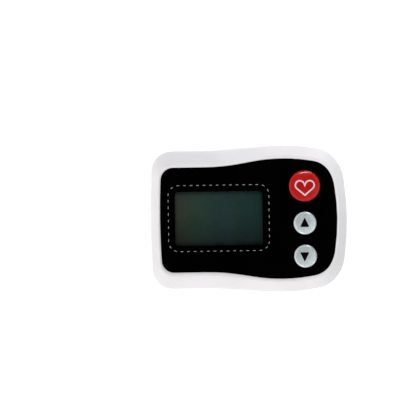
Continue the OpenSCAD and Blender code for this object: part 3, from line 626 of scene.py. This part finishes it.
for node in ("event_button", "up_button", "down_button"):
    centre, r, top, foot = button_place(node)
    rim = top - DOME
    roof = rim - ROOF_T
    dome = [(r - BEVEL) * k / DOME_STEPS for k in range(DOME_STEPS)]
    profile = [(away, dome_height(node, away)) for away in dome]
    # One soft bend leads from the dome to a chamfer, and the next one from there to the skirt.
    chamfer = (r - CHAMFER_IN, rim - CHAMFER_DOWN)
    upper, lower = (r - 0.9 * BEVEL, rim - 0.01 * MM), (r, rim - 0.33 * MM)
    profile += rounded((r - BEVEL, rim), upper, chamfer, CORNER_STEPS)
    profile += rounded(chamfer, lower, (r, rim - SKIRT_DOWN), CORNER_STEPS)[1:]
    profile += [
        (r, foot + FLANGE_T),
        (r + FLANGE_W, foot + FLANGE_T),
        (r + FLANGE_W, foot),
        (r - SKIRT_WALL, foot),
        (r - SKIRT_WALL, roof),
        (STEM_R, roof),
        (STEM_R, foot),
        (0, foot),
    ]
    bm = turned(profile, Matrix.Translation(centre), ROUND_STEPS)
    piece(node + "_cap", bm, SLOT_OF[node], BODY_OF[node], stands_for=[node])

# %% [markdown]
# The marks are printed, so each is a thin skin of ink that follows the surface under it. A colour
# pattern in the button's own finish could draw them, but its edge would blur up close. A mark
# starts as a flat face, is cut into small faces and laid on the dome. The triangle comes from
# three corners that are bevelled round, and sits a little off the middle, as prints do.

# %% Arrow marks
INK = 0.02 * MM
ARROW_TALL, ARROW_HALF, ARROW_ROUND = 3.8 * MM, 1.84 * MM, 0.42 * MM
ARROW_FOOT = 0.42  # the share of its height that lies below the middle


def laid(bm, height_at):
    """Lifts a flat print onto a surface and gives the ink its thickness."""
    for v in bm.verts:
        v.co.z = height_at(v.co) + INK
    bmesh.ops.recalc_face_normals(bm, faces=bm.faces)
    if sum(f.normal.z for f in bm.faces) < 0:
        bmesh.ops.reverse_faces(bm, faces=bm.faces)
    bmesh.ops.solidify(bm, geom=bm.faces[:], thickness=2 * INK)


def flat_face(points):
    """One flat face from its corners."""
    bm = bmesh.new()
    bm.faces.new([bm.verts.new((x, y, 0)) for x, y in points])
    return bm


def arrow_mark(node, name, turn, off):
    """A triangle with round corners, turned by an angle and printed off the middle."""
    centre = button_place(node)[0]
    foot, tip = -ARROW_TALL * ARROW_FOOT, ARROW_TALL * (1 - ARROW_FOOT)
    bm = flat_face([(-ARROW_HALF, foot), (ARROW_HALF, foot), (0, tip)])
    bmesh.ops.bevel(
        bm,
        geom=bm.verts[:],
        offset=ARROW_ROUND,
        offset_type="OFFSET",
        segments=5,
        profile=0.5,
        affect="VERTICES",
        material=-1,
    )
    bmesh.ops.triangulate(bm, faces=bm.faces[:])
    bmesh.ops.subdivide_edges(bm, edges=bm.edges[:], cuts=3, use_grid_fill=True)
    bmesh.ops.rotate(bm, verts=bm.verts, cent=(0, 0, 0), matrix=Matrix.Rotation(turn, 3, "Z"))
    bmesh.ops.translate(bm, verts=bm.verts, vec=centre + off * MM)
    laid(bm, lambda p: dome_height(node, (p.xy - centre.xy).length))
    piece(name, bm, "black_ink", BODY_OF[node])


arrow_mark("up_button", "up_mark", 0, Vector((-0.15, 0.05, 0)))
arrow_mark("down_button", "down_mark", math.pi, Vector((-0.35, -0.05, 0)))

# %% [markdown]
# The event button carries a plain heart, the common sign for a heart symptom, drawn as one even
# line. A curve with a round bevel would stand up like wire, so the line is flat ink too: the
# outline of two round lobes and straight sides is filled, inset by the line's width, and opened.

# %% Heart mark
HEART_LINE = 0.55 * MM
HEART_HALF, HEART_LOBE, HEART_TALL = 4.0 * MM, 2.05 * MM, 6.4 * MM
HEART_OFF = Vector((0.1, 0.3, 0)) * MM
LOBE_STEPS, SIDE_STEPS = 20, 8


def heart_outline(half, lobe, tall):
    """A plain heart: two round lobes and straight sides down to a point, left like right."""
    side = half - lobe
    reach = tall - lobe
    notch = math.pi - math.acos(side / lobe)
    lean = math.atan2(side, reach) + math.asin(lobe / math.hypot(side, reach))
    right = []
    for k in range(LOBE_STEPS + 1):
        a = notch - (notch + lean) * k / LOBE_STEPS
        right.append(Vector((side + lobe * math.cos(a), lobe * math.sin(a))))
    point = Vector((0, -reach))
    right += [right[-1].lerp(point, k / SIDE_STEPS) for k in range(1, SIDE_STEPS + 1)]
    return right + [Vector((-p.x, p.y)) for p in reversed(right[1:-1])]


event_centre = button_place("event_button")[0]
bm = flat_face(heart_outline(HEART_HALF, HEART_LOBE, HEART_TALL))
bmesh.ops.recalc_face_normals(bm, faces=bm.faces)
line = bmesh.ops.inset_region(
    bm, faces=bm.faces[:], thickness=HEART_LINE, use_even_offset=True, use_boundary=True
)
filling = [f for f in bm.faces if f not in line["faces"]]
bmesh.ops.delete(bm, geom=filling, context="FACES")
bmesh.ops.subdivide_edges(bm, edges=bm.edges[:], cuts=1, use_grid_fill=True)
bmesh.ops.translate(bm, verts=bm.verts, vec=event_centre + HEART_OFF)
laid(bm, lambda p: dome_height("event_button", (p.xy - event_centre.xy).length))
piece("heart_mark", bm, "white_ink", "event")

# %% [markdown]
# A line of dashes with round corners is printed round the display. An array along a curve would
# keep every dash straight, so one function walks along the path instead and gives the place and
# heading at any distance. That bends the dashes that lie on a corner.

# %% The path of the dashes
BORDER_HALF = Vector((19.95, 13.05)) * MM
BORDER_CORNER = 4.0 * MM
CORNER_ARC = BORDER_CORNER * math.pi / 2
SIDES = [2 * (BORDER_HALF.x - BORDER_CORNER), 2 * (BORDER_HALF.y - BORDER_CORNER)]
BORDER_LENGTH = 2 * sum(SIDES) + 4 * CORNER_ARC
CORNER_SIGNS = ((-1, 1), (1, 1), (1, -1), (-1, -1))


def border_point(walked):
    """Place and heading at a distance along the path, clockwise from its top left corner."""
    left = walked % BORDER_LENGTH
    for k, (sign_x, sign_y) in enumerate(CORNER_SIGNS):
        if left <= CORNER_ARC + SIDES[k % 2]:
            break
        left -= CORNER_ARC + SIDES[k % 2]
    turn = math.pi - k * math.pi / 2 - min(left, CORNER_ARC) / BORDER_CORNER
    middle = Vector(
        (sign_x * (BORDER_HALF.x - BORDER_CORNER), sign_y * (BORDER_HALF.y - BORDER_CORNER))
    )
    heading = Vector((math.sin(turn), -math.cos(turn)))
    spot = middle + BORDER_CORNER * Vector((math.cos(turn), math.sin(turn)))
    return spot + heading * max(0, left - CORNER_ARC), heading


print("path:", round(BORDER_LENGTH / MM, 1), "mm")

# %% [markdown]
# Each dash is a short strip of a grid whose points are put on the path, and then lifted to the
# panel's own height at their place, because the face is hollow. The first half of the dashes, along
# the top and the right, is printed a little further on than an even pitch would put them.

# %% Dashes round the display
DASHES, DASH_L, DASH_W = 48, 1.0 * MM, 0.125 * MM
PRINT_SLIP = 0.45 * MM
PRINT_OFF = Vector((-0.05, 0.15)) * MM
border_centre = view_centre.xy + PRINT_OFF


def panel_height(point):
    """Height of the panel's upper face."""
    return window_high.z + (point.y**2 - view_half.y**2) / (2 * FACE_RADIUS)


bm = bmesh.new()
for k in range(DASHES):
    slip = PRINT_SLIP if k < DASHES / 2 else 0
    start = CORNER_ARC / 2 + k * BORDER_LENGTH / DASHES + slip
    strip = bmesh.ops.create_grid(bm, x_segments=5, y_segments=1, size=0.5)
    for v in strip["verts"]:
        spot, heading = border_point(start + v.co.x * DASH_L)
        beside = Vector((-heading.y, heading.x)) * v.co.y * DASH_W
        v.co.xy = border_centre + spot + beside
laid(bm, panel_height)
piece("display_border_print", bm, "white_ink", "recorder")

# %% [markdown]
# The smaller parts keep the construction model's shapes, but no real moulding or stamping has a
# knife edge. A Bevel modifier would fill the inner corners too, so the bevel is given its edges: a
# copy of each node is merged, its flat facets are joined again, and only the edges that point
# outwards are bevelled by a small width, so that they catch a line of light.

# %% Small parts with broken edges
FLAT_WITHIN = math.radians(0.5)
SHARP_FROM = math.radians(30)
EDGE_WIDTHS_MM = {
    "lead_socket": 0.12,
    "lead_contacts": 0.04,
    "case_screws": 0.12,
    "board_screws": 0.08,
    "battery_contact": 0.12,
    "event_switch": 0.1,
    "up_switch": 0.1,
    "down_switch": 0.1,
    "event_plunger": 0.15,
    "up_plunger": 0.15,
    "down_plunger": 0.15,
    "buzzer": 0.25,
    "crystal": 0.25,
    "lcd_frame": 0.1,
    "lcd_glass": 0.06,
    "lcd_light_guide": 0.06,
}

for node, width in EDGE_WIDTHS_MM.items():
    bm = merged(node)
    bmesh.ops.dissolve_limit(bm, angle_limit=FLAT_WITHIN, verts=bm.verts[:], edges=bm.edges[:])
    outer = [
        e
        for e in bm.edges
        if len(e.link_faces) == 2 and e.is_convex and e.calc_face_angle(0) > SHARP_FROM
    ]
    break_edges(bm, outer, width * MM, clamp=True)
    bmesh.ops.dissolve_degenerate(bm, dist=2 * SAME_POINT, edges=bm.edges[:])
    piece(node + "_finished", bm, SLOT_OF[node], BODY_OF[node], stands_for=[node])

# %% [markdown]
# The cell is a nickel-plated steel can in a shrunk film. A plain cylinder would pass in the bay,
# but the ends show when the door is off: the positive end has a groove round the plate that
# carries the nub, the negative end is dished, and the film curls over both edges. So the can and
# the film are two turned shapes with their axis along the recorder.

# %% Battery can
NUB_R, NUB_L, NUB_ROUND = 1.8 * MM, 1.0 * MM, 0.3 * MM
PLATE_R, GROOVE_R, GROOVE_DEEP = 3.4 * MM, 4.0 * MM, 0.4 * MM
DISH_DEEP = 0.2 * MM
FILM_T = 0.12 * MM
CAN_ROUND = 0.6 * MM
CELL_STEPS = 72

cell_low, cell_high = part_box("battery_cell")
cell_middle = (cell_low + cell_high) / 2
cell_r = (cell_high.y - cell_low.y) / 2
can_r = cell_r - FILM_T
can_start, can_end = cell_low.x + NUB_L, cell_high.x
along_x = Matrix.Translation((0, cell_middle.y, cell_middle.z)) @ Matrix.Rotation(
    math.pi / 2, 4, "Y"
)
nub_start = (NUB_R - NUB_ROUND, cell_low.x)
can = [(0, cell_low.x)]
can += rounded(nub_start, (NUB_R, cell_low.x), (NUB_R, cell_low.x + NUB_ROUND), 5)
can += rounded(
    (NUB_R, can_start - 0.2 * MM), (NUB_R, can_start), (NUB_R + NUB_ROUND, can_start), 4
)
can += [
    (PLATE_R, can_start),
    (PLATE_R + 0.1 * MM, can_start + GROOVE_DEEP),
    (GROOVE_R, can_start + GROOVE_DEEP),
]
can += rounded(
    (GROOVE_R + 0.1 * MM, can_start + 0.1 * MM),
    (can_r, can_start),
    (can_r, can_start + CAN_ROUND),
    5,
)
can += rounded((can_r, can_end - CAN_ROUND), (can_r, can_end), (can_r - CAN_ROUND, can_end), 5)
can += [
    (PLATE_R + DISH_DEEP, can_end),
    (PLATE_R, can_end - DISH_DEEP),
    (0, can_end - DISH_DEEP),
]
piece(
    "battery_can",
    turned(can, along_x, CELL_STEPS),
    "nickel_plate",
    BODY_OF["battery_cell"],
    stands_for=["battery_cell"],
)

# %% [markdown]
# The film hugs the can, so its profile is a thin closed ring: over one curled edge, along the
# outside, over the other edge and back inside the can's wall, where it can't show.

# %% Battery film
CURL_R, CURL_OUT, CURL_RISE = 4.3 * MM, 4.5 * MM, 0.04 * MM
FILM_ROUND = 0.5 * MM
hidden_r = can_r - 0.05 * MM
film = [(CURL_R, can_start + FILM_T), (CURL_R, can_start)]
film += rounded(
    (CURL_OUT, can_start - CURL_RISE), (cell_r, can_start), (cell_r, can_start + FILM_ROUND), 5
)
film += rounded(
    (cell_r, can_end - FILM_ROUND), (cell_r, can_end), (CURL_OUT, can_end + CURL_RISE), 5
)
film += [(CURL_R, can_end), (CURL_R, can_end - FILM_T)]
film += [(hidden_r, can_end - FILM_ROUND), (hidden_r, can_start + FILM_ROUND), film[0]]
piece("battery_film", turned(film, along_x, CELL_STEPS), "cell_wrap", BODY_OF["battery_cell"])

# %% [markdown]
# The spring is round wire wound on a cone. A spin with a rise per turn winds only an even coil, so
# this one is a curve through points on a widening coil, whose own bevel gives it a round wire with
# closed ends. It becomes a mesh together with the plate that it is welded to.

# %% Battery spring
WIRE_R, TURNS, PER_TURN = 0.25 * MM, 4, 28
COIL_X = (11.75 * MM, 16.4 * MM)
COIL_R = (1.6 * MM, 3.25 * MM)
PLATE_X, PLATE_EDGE = 16.5 * MM, 0.1 * MM

wire = bpy.data.curves.new("spring_wire", "CURVE")
wire.dimensions = "3D"
wire.bevel_depth = WIRE_R
wire.bevel_resolution = 3
wire.use_fill_caps = True
coil = wire.splines.new("POLY")
coil.points.add(TURNS * PER_TURN)
for k, point in enumerate(coil.points):
    t = k / (TURNS * PER_TURN)
    a, r = 2 * math.pi * TURNS * t, COIL_R[0] + (COIL_R[1] - COIL_R[0]) * t
    x = COIL_X[0] + (COIL_X[1] - COIL_X[0]) * t
    point.co = (x, cell_middle.y + r * math.cos(a), cell_middle.z + r * math.sin(a), 1)
bent = bpy.data.objects.new("spring_wire", wire)
bm = bmesh.new()
bm.from_mesh(bpy.data.meshes.new_from_object(bent))
bpy.data.objects.remove(bent)
bmesh.ops.remove_doubles(bm, verts=bm.verts, dist=SAME_POINT)
bmesh.ops.recalc_face_normals(bm, faces=bm.faces)


def block(bm, low, high, width):
    """Adds a box between two corners, with its edges bevelled by a width."""
    place = Matrix.LocRotScale((low + high) / 2, None, high - low)
    verts = bmesh.ops.create_cube(bm, size=1, matrix=place)["verts"]
    break_edges(bm, list({e for v in verts for e in v.link_edges}), width)


spring_low, spring_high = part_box("battery_spring")
block(bm, Vector((PLATE_X, spring_low.y, spring_low.z)), spring_high, PLATE_EDGE)
piece(
    "battery_spring_wound",
    bm,
    SLOT_OF["battery_spring"],
    BODY_OF["battery_spring"],
    hard=35,
    stands_for=["battery_spring"],
)

# %% [markdown]
# A chip is a block of epoxy with rows of bent metal leads. Separate bars would leave gaps at each
# bend, so one side's leads start as short edges that are extruded together along the bend:
# outwards, up to the board and outwards again. That strip then gets its thickness.

# %% A row of leads
LEAD_REACH, LEAD_T = 0.8 * MM, 0.12 * MM
LEAD_SHARE = 0.22  # half a lead's width, as a share of the pitch
LEAD_IN, LEAD_OUT, LEAD_SLOPE = 0.05 * MM, 0.27 * MM, 0.1 * MM
board_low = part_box("main_board")[0].z


def lead_row(count, pitch, half, start_z):
    """Leads of the side that faces +Y of a chip at the origin."""
    bm = bmesh.new()
    edges = []
    for k in range(count):
        x, w = (k - (count - 1) / 2) * pitch, pitch * LEAD_SHARE
        ends = [bm.verts.new((x + s * w, half - LEAD_IN, start_z)) for s in (-1, 1)]
        edges.append(bm.edges.new(ends))
    rise = board_low - LEAD_T - start_z
    foot = LEAD_REACH + LEAD_IN - LEAD_OUT - LEAD_SLOPE
    for out, up in ((LEAD_OUT, 0), (LEAD_SLOPE, rise), (foot, 0)):
        grown = bmesh.ops.extrude_edge_only(bm, edges=edges)["geom"]
        verts = {g for g in grown if isinstance(g, bmesh.types.BMVert)}
        edges = [
            g for g in grown if isinstance(g, bmesh.types.BMEdge) and set(g.verts) <= verts
        ]
        bmesh.ops.translate(bm, verts=list(verts), vec=(0, out, up))
    bmesh.ops.recalc_face_normals(bm, faces=bm.faces)
    bmesh.ops.solidify(bm, geom=bm.faces[:], thickness=LEAD_T)
    over = max(v.co.z for v in bm.verts) - board_low
    bmesh.ops.translate(bm, verts=bm.verts, vec=(0, 0, -over))
    return bm


print("leads reach up to", round(board_low / MM, 2), "mm")

# %% [markdown]
# The row is turned to each side of the chip that has leads: four on the processor and the
# amplifiers, two on the memory. Bodies and leads are two pieces, because they differ in finish.

# %% Chips with leads
FOUR_SIDES, TWO_SIDES = (0, 90, 180, 270), (90, 270)
CHIP_EDGE = 0.1 * MM


def chips(node, centres, length, width, sides, count, pitch):
    """The epoxy bodies of a node's chips as one piece, and their leads as another."""
    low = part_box(node)[0].z
    tall = board_low - low - LEAD_T
    bodies, leads = bmesh.new(), bmesh.new()
    for centre in centres:
        half = Vector((length / 2, width / 2, 0))
        foot = Vector((centre.x, centre.y, low))
        block(bodies, foot - half, foot + half + Vector((0, 0, tall)), CHIP_EDGE)
        for side in sides:
            half_side = width / 2 if side % 180 == 0 else length / 2
            row = lead_row(count, pitch, half_side, (low + board_low) / 2)
            place = Matrix.Translation((centre.x, centre.y, 0)) @ Matrix.Rotation(
                math.radians(side), 4, "Z"
            )
            bmesh.ops.transform(row, matrix=place, verts=row.verts)
            mesh = bpy.data.meshes.new("row")
            row.to_mesh(mesh)
            row.free()
            leads.from_mesh(mesh)
            bpy.data.meshes.remove(mesh)
    piece(node + "_bodies", bodies, SLOT_OF[node], BODY_OF[node], stands_for=[node])
    piece(node + "_leads", leads, "nickel_plate", BODY_OF[node])


low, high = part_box("processor")
middle = (low + high) / 2
chips("processor", [middle], 10 * MM, 10 * MM, FOUR_SIDES, count=12, pitch=0.7 * MM)
low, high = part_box("memory_chip")
middle = (low + high) / 2
chips("memory_chip", [middle], 8 * MM, 12 * MM, TWO_SIDES, count=10, pitch=1.0 * MM)
low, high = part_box("heart_amplifiers")
corner = Vector((3 * MM + LEAD_REACH, 3 * MM + LEAD_REACH, 0))
pair = [low + corner, high - corner]
chips("heart_amplifiers", pair, 6 * MM, 6 * MM, FOUR_SIDES, count=6, pitch=0.8 * MM)

# %% [markdown]
# A ceramic capacitor is a fired block whose two ends are dipped in metal. One block with two
# finishes would have no step where the metal starts, so the ends are caps round a smaller block.
# Their places are read from the node's own corners.

# %% Capacitors
END_L, END_T = 0.28 * MM, 0.04 * MM
BLOCK_EDGE, END_EDGE = 0.04 * MM, 0.07 * MM
OVERLAP = 0.9  # the block reaches a tenth of the way into its ends
low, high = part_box("capacitors")
bm = merged("capacitors")
stations = sorted({round(v.co.x, 6) for v in bm.verts})
bm.free()
blocks, ends = bmesh.new(), bmesh.new()
for x0, x1 in zip(stations[::2], stations[1::2]):
    skin = Vector((END_L, END_T, END_T)) * OVERLAP
    start, stop = Vector((x0, low.y, low.z)), Vector((x1, high.y, high.z))
    block(blocks, start + skin, stop - skin, BLOCK_EDGE)
    block(ends, start, Vector((x0 + END_L, high.y, high.z)), END_EDGE)
    block(ends, Vector((x1 - END_L, low.y, low.z)), stop, END_EDGE)
piece("capacitor_blocks", blocks, "ceramic", "recorder", stands_for=["capacitors"])
piece("capacitor_ends", ends, "nickel_plate", "recorder")

# %% [markdown]
# The floor is one pale sheet that takes the object's soft shadow. The picture's background is pure
# white, and more lamp light would bleach the casing too, so the sheet itself gives off a little
# light for the camera, for reflections and through glass. It is see-through from below.

# %% Floor
FLOOR_HALF, FLOOR_GAP = 3, 0.02 * MM
bm = bmesh.new()
bmesh.ops.create_grid(bm, x_segments=1, y_segments=1, size=FLOOR_HALF)
bmesh.ops.translate(bm, verts=bm.verts, vec=(0, 0, -FLOOR_GAP))
floor_mesh = bpy.data.meshes.new("floor")
bm.to_mesh(floor_mesh)
bm.free()
floor = bpy.data.objects.new("floor", floor_mesh)
bpy.context.scene.collection.objects.link(floor)

paper, tree, shader = finish("paper_matt_white", roughness=0.9, Base_Color=(0.8, 0.8, 0.8, 1))
rays = add(tree, "LightPath").outputs
seen = rays["Is Camera Ray"]
for ray in ("Is Glossy Ray", "Is Transmission Ray"):
    seen = add(tree, "Math", {0: seen, 1: rays[ray]}, operation="MAXIMUM").outputs[0]
lift = add(tree, "Math", {0: seen, 1: 0.5}, operation="MULTIPLY")
shader.inputs["Emission Color"].default_value = (1, 1, 1, 1)
tree.links.new(lift.outputs[0], shader.inputs["Emission Strength"])
from_below = add(
    tree,
    "MixShader",
    {
        "Fac": add(tree, "NewGeometry").outputs["Backfacing"],
        1: shader.outputs[0],
        2: add(tree, "BsdfTransparent").outputs[0],
    },
)
tree.links.new(from_below.outputs[0], tree.nodes["Material Output"].inputs["Surface"])
floor_mesh.materials.append(paper)
print("floor:", 2 * FLOOR_HALF, "m wide")

# %% [markdown]
# A studio is a white room with one dark card overhead, which the polished panel mirrors, so that
# it looks black from above. A real card would cast a shadow, so it is drawn into the world: the
# light falls off within a cone about its direction. The rest of the room is brighter to the left
# and in front, and a little bluer where it is dim. The camera itself sees plain white.

# %% Studio room
CARD = Vector((-0.17, 0.17, 0.97))
CARD_EDGE = (0.87, 0.915)  # cosines of the angles where the card starts and is full
world = bpy.data.worlds.new("studio")
bpy.context.scene.world = world
world.use_nodes = True
tree = world.node_tree
background = tree.nodes["Background"]
sky = add(tree, "TexCoord").outputs["Generated"]
towards = add(tree, "SeparateXYZ", {"Vector": sky})
card = add(tree, "VectorMath", {0: sky, 1: CARD.normalized()}, operation="DOT_PRODUCT")
overhead = add(
    tree,
    "MapRange",
    {
        "Value": card.outputs["Value"],
        "From Min": CARD_EDGE[0],
        "From Max": CARD_EDGE[1],
        "To Min": 1.0,
        "To Max": 0.006,
    },
    interpolation_type="SMOOTHSTEP",
)
leftward = add(
    tree, "Math", {0: towards.outputs["X"], 1: -0.43, 2: 1.02}, operation="MULTIPLY_ADD"
)
key_side = add(
    tree,
    "Math",
    {0: towards.outputs["Y"], 1: -0.32, 2: leftward.outputs[0]},
    operation="MULTIPLY_ADD",
)
level = add(
    tree, "Math", {0: key_side.outputs[0], 1: overhead.outputs["Result"]}, operation="MULTIPLY"
)
shown = add(tree, "LightPath").outputs["Is Camera Ray"]
strength = add(
    tree, "Mix", {"Factor": shown, "A": level.outputs[0], "B": 1.0}, data_type="FLOAT"
)
tree.links.new(strength.outputs[0], background.inputs["Strength"])
warmth = add(
    tree, "MapRange", {"Value": key_side.outputs[0], "From Min": 0.75, "From Max": 1.35}
)
tints = add(tree, "ValToRGB", {"Fac": warmth.outputs["Result"]})
tints.color_ramp.elements[0].color = (0.93, 0.972, 1, 1)
tints.color_ramp.elements[1].color = (1, 0.99, 0.99, 1)
colour = add(
    tree, "Mix", {"Factor": shown, 6: tints.outputs["Color"], 7: (1, 1, 1, 1)}, data_type="RGBA"
)
tree.links.new(colour.outputs[2], background.inputs["Color"])
print("card lies", round(math.degrees(CARD.angle(Vector((0, 0, 1))))), "degrees off the zenith")

# %% [markdown]
# Two small diffusers lift the bulge and the right side a little. Three more are the studio's thin
# highlights: two draw the bright rims of the silver buttons, and one the crescent on the red one.
# The polished panel would mirror them too and turn grey, so light linking keeps each of the three
# to its own buttons, and none of them adds any other light.


# %% Lamps
def soft_lamp(name, spot, target, size, power, wide=1.0, glints_on=()):
    """A diffuser that shines from a spot to a target, of a size in metres and a power in watts.
    It isn't seen itself. Given pieces to glint on, it adds a reflection to them alone."""
    data = bpy.data.lights.new(name, "AREA")
    data.shape = "RECTANGLE"
    data.size, data.size_y, data.energy = size * wide, size, power
    lamp = bpy.data.objects.new(name, data)
    bpy.context.scene.collection.objects.link(lamp)
    lamp.location = spot
    lamp.rotation_euler = (Vector(target) - Vector(spot)).to_track_quat("-Z", "Y").to_euler()
    lamp.visible_camera = False
    lamp.visible_transmission = False
    if glints_on:
        lamp.visible_diffuse = False
        lit = bpy.data.collections.new("lit_by_" + name)
        for piece_name in glints_on:
            lit.objects.link(bpy.data.objects[piece_name])
        lamp.light_linking.receiver_collection = lit


SILVER = ("up_button_cap", "down_button_cap")
RED = ("event_button_cap",)
BUTTONS = (0.022, -0.01, 0.016)
soft_lamp("lamp_above_bulge", (0.06, 0.115, 0.055), (0.03, 0.024, 0.014), 0.04, 0.036)
soft_lamp("lamp_right", (0.2, -0.07, 0.32), (0.022, 0, 0.016), 0.1, 0.025)
soft_lamp("rim_light_foot", (-0.02, -0.14, 0.07), BUTTONS, 0.06, 0.034, glints_on=SILVER)
soft_lamp("rim_light_right", (0.15, -0.12, 0.08), BUTTONS, 0.12, 0.06, glints_on=SILVER)
soft_lamp(
    "crescent_light",
    (0.0215, 0.0425, 0.072),
    (0.022, 0.0182, 0.017),
    0.008,
    0.02,
    wide=2.6,
    glints_on=RED,
)
bpy.context.scene.view_settings.view_transform = "Standard"
print("lamps:", [light.name for light in bpy.data.lights])
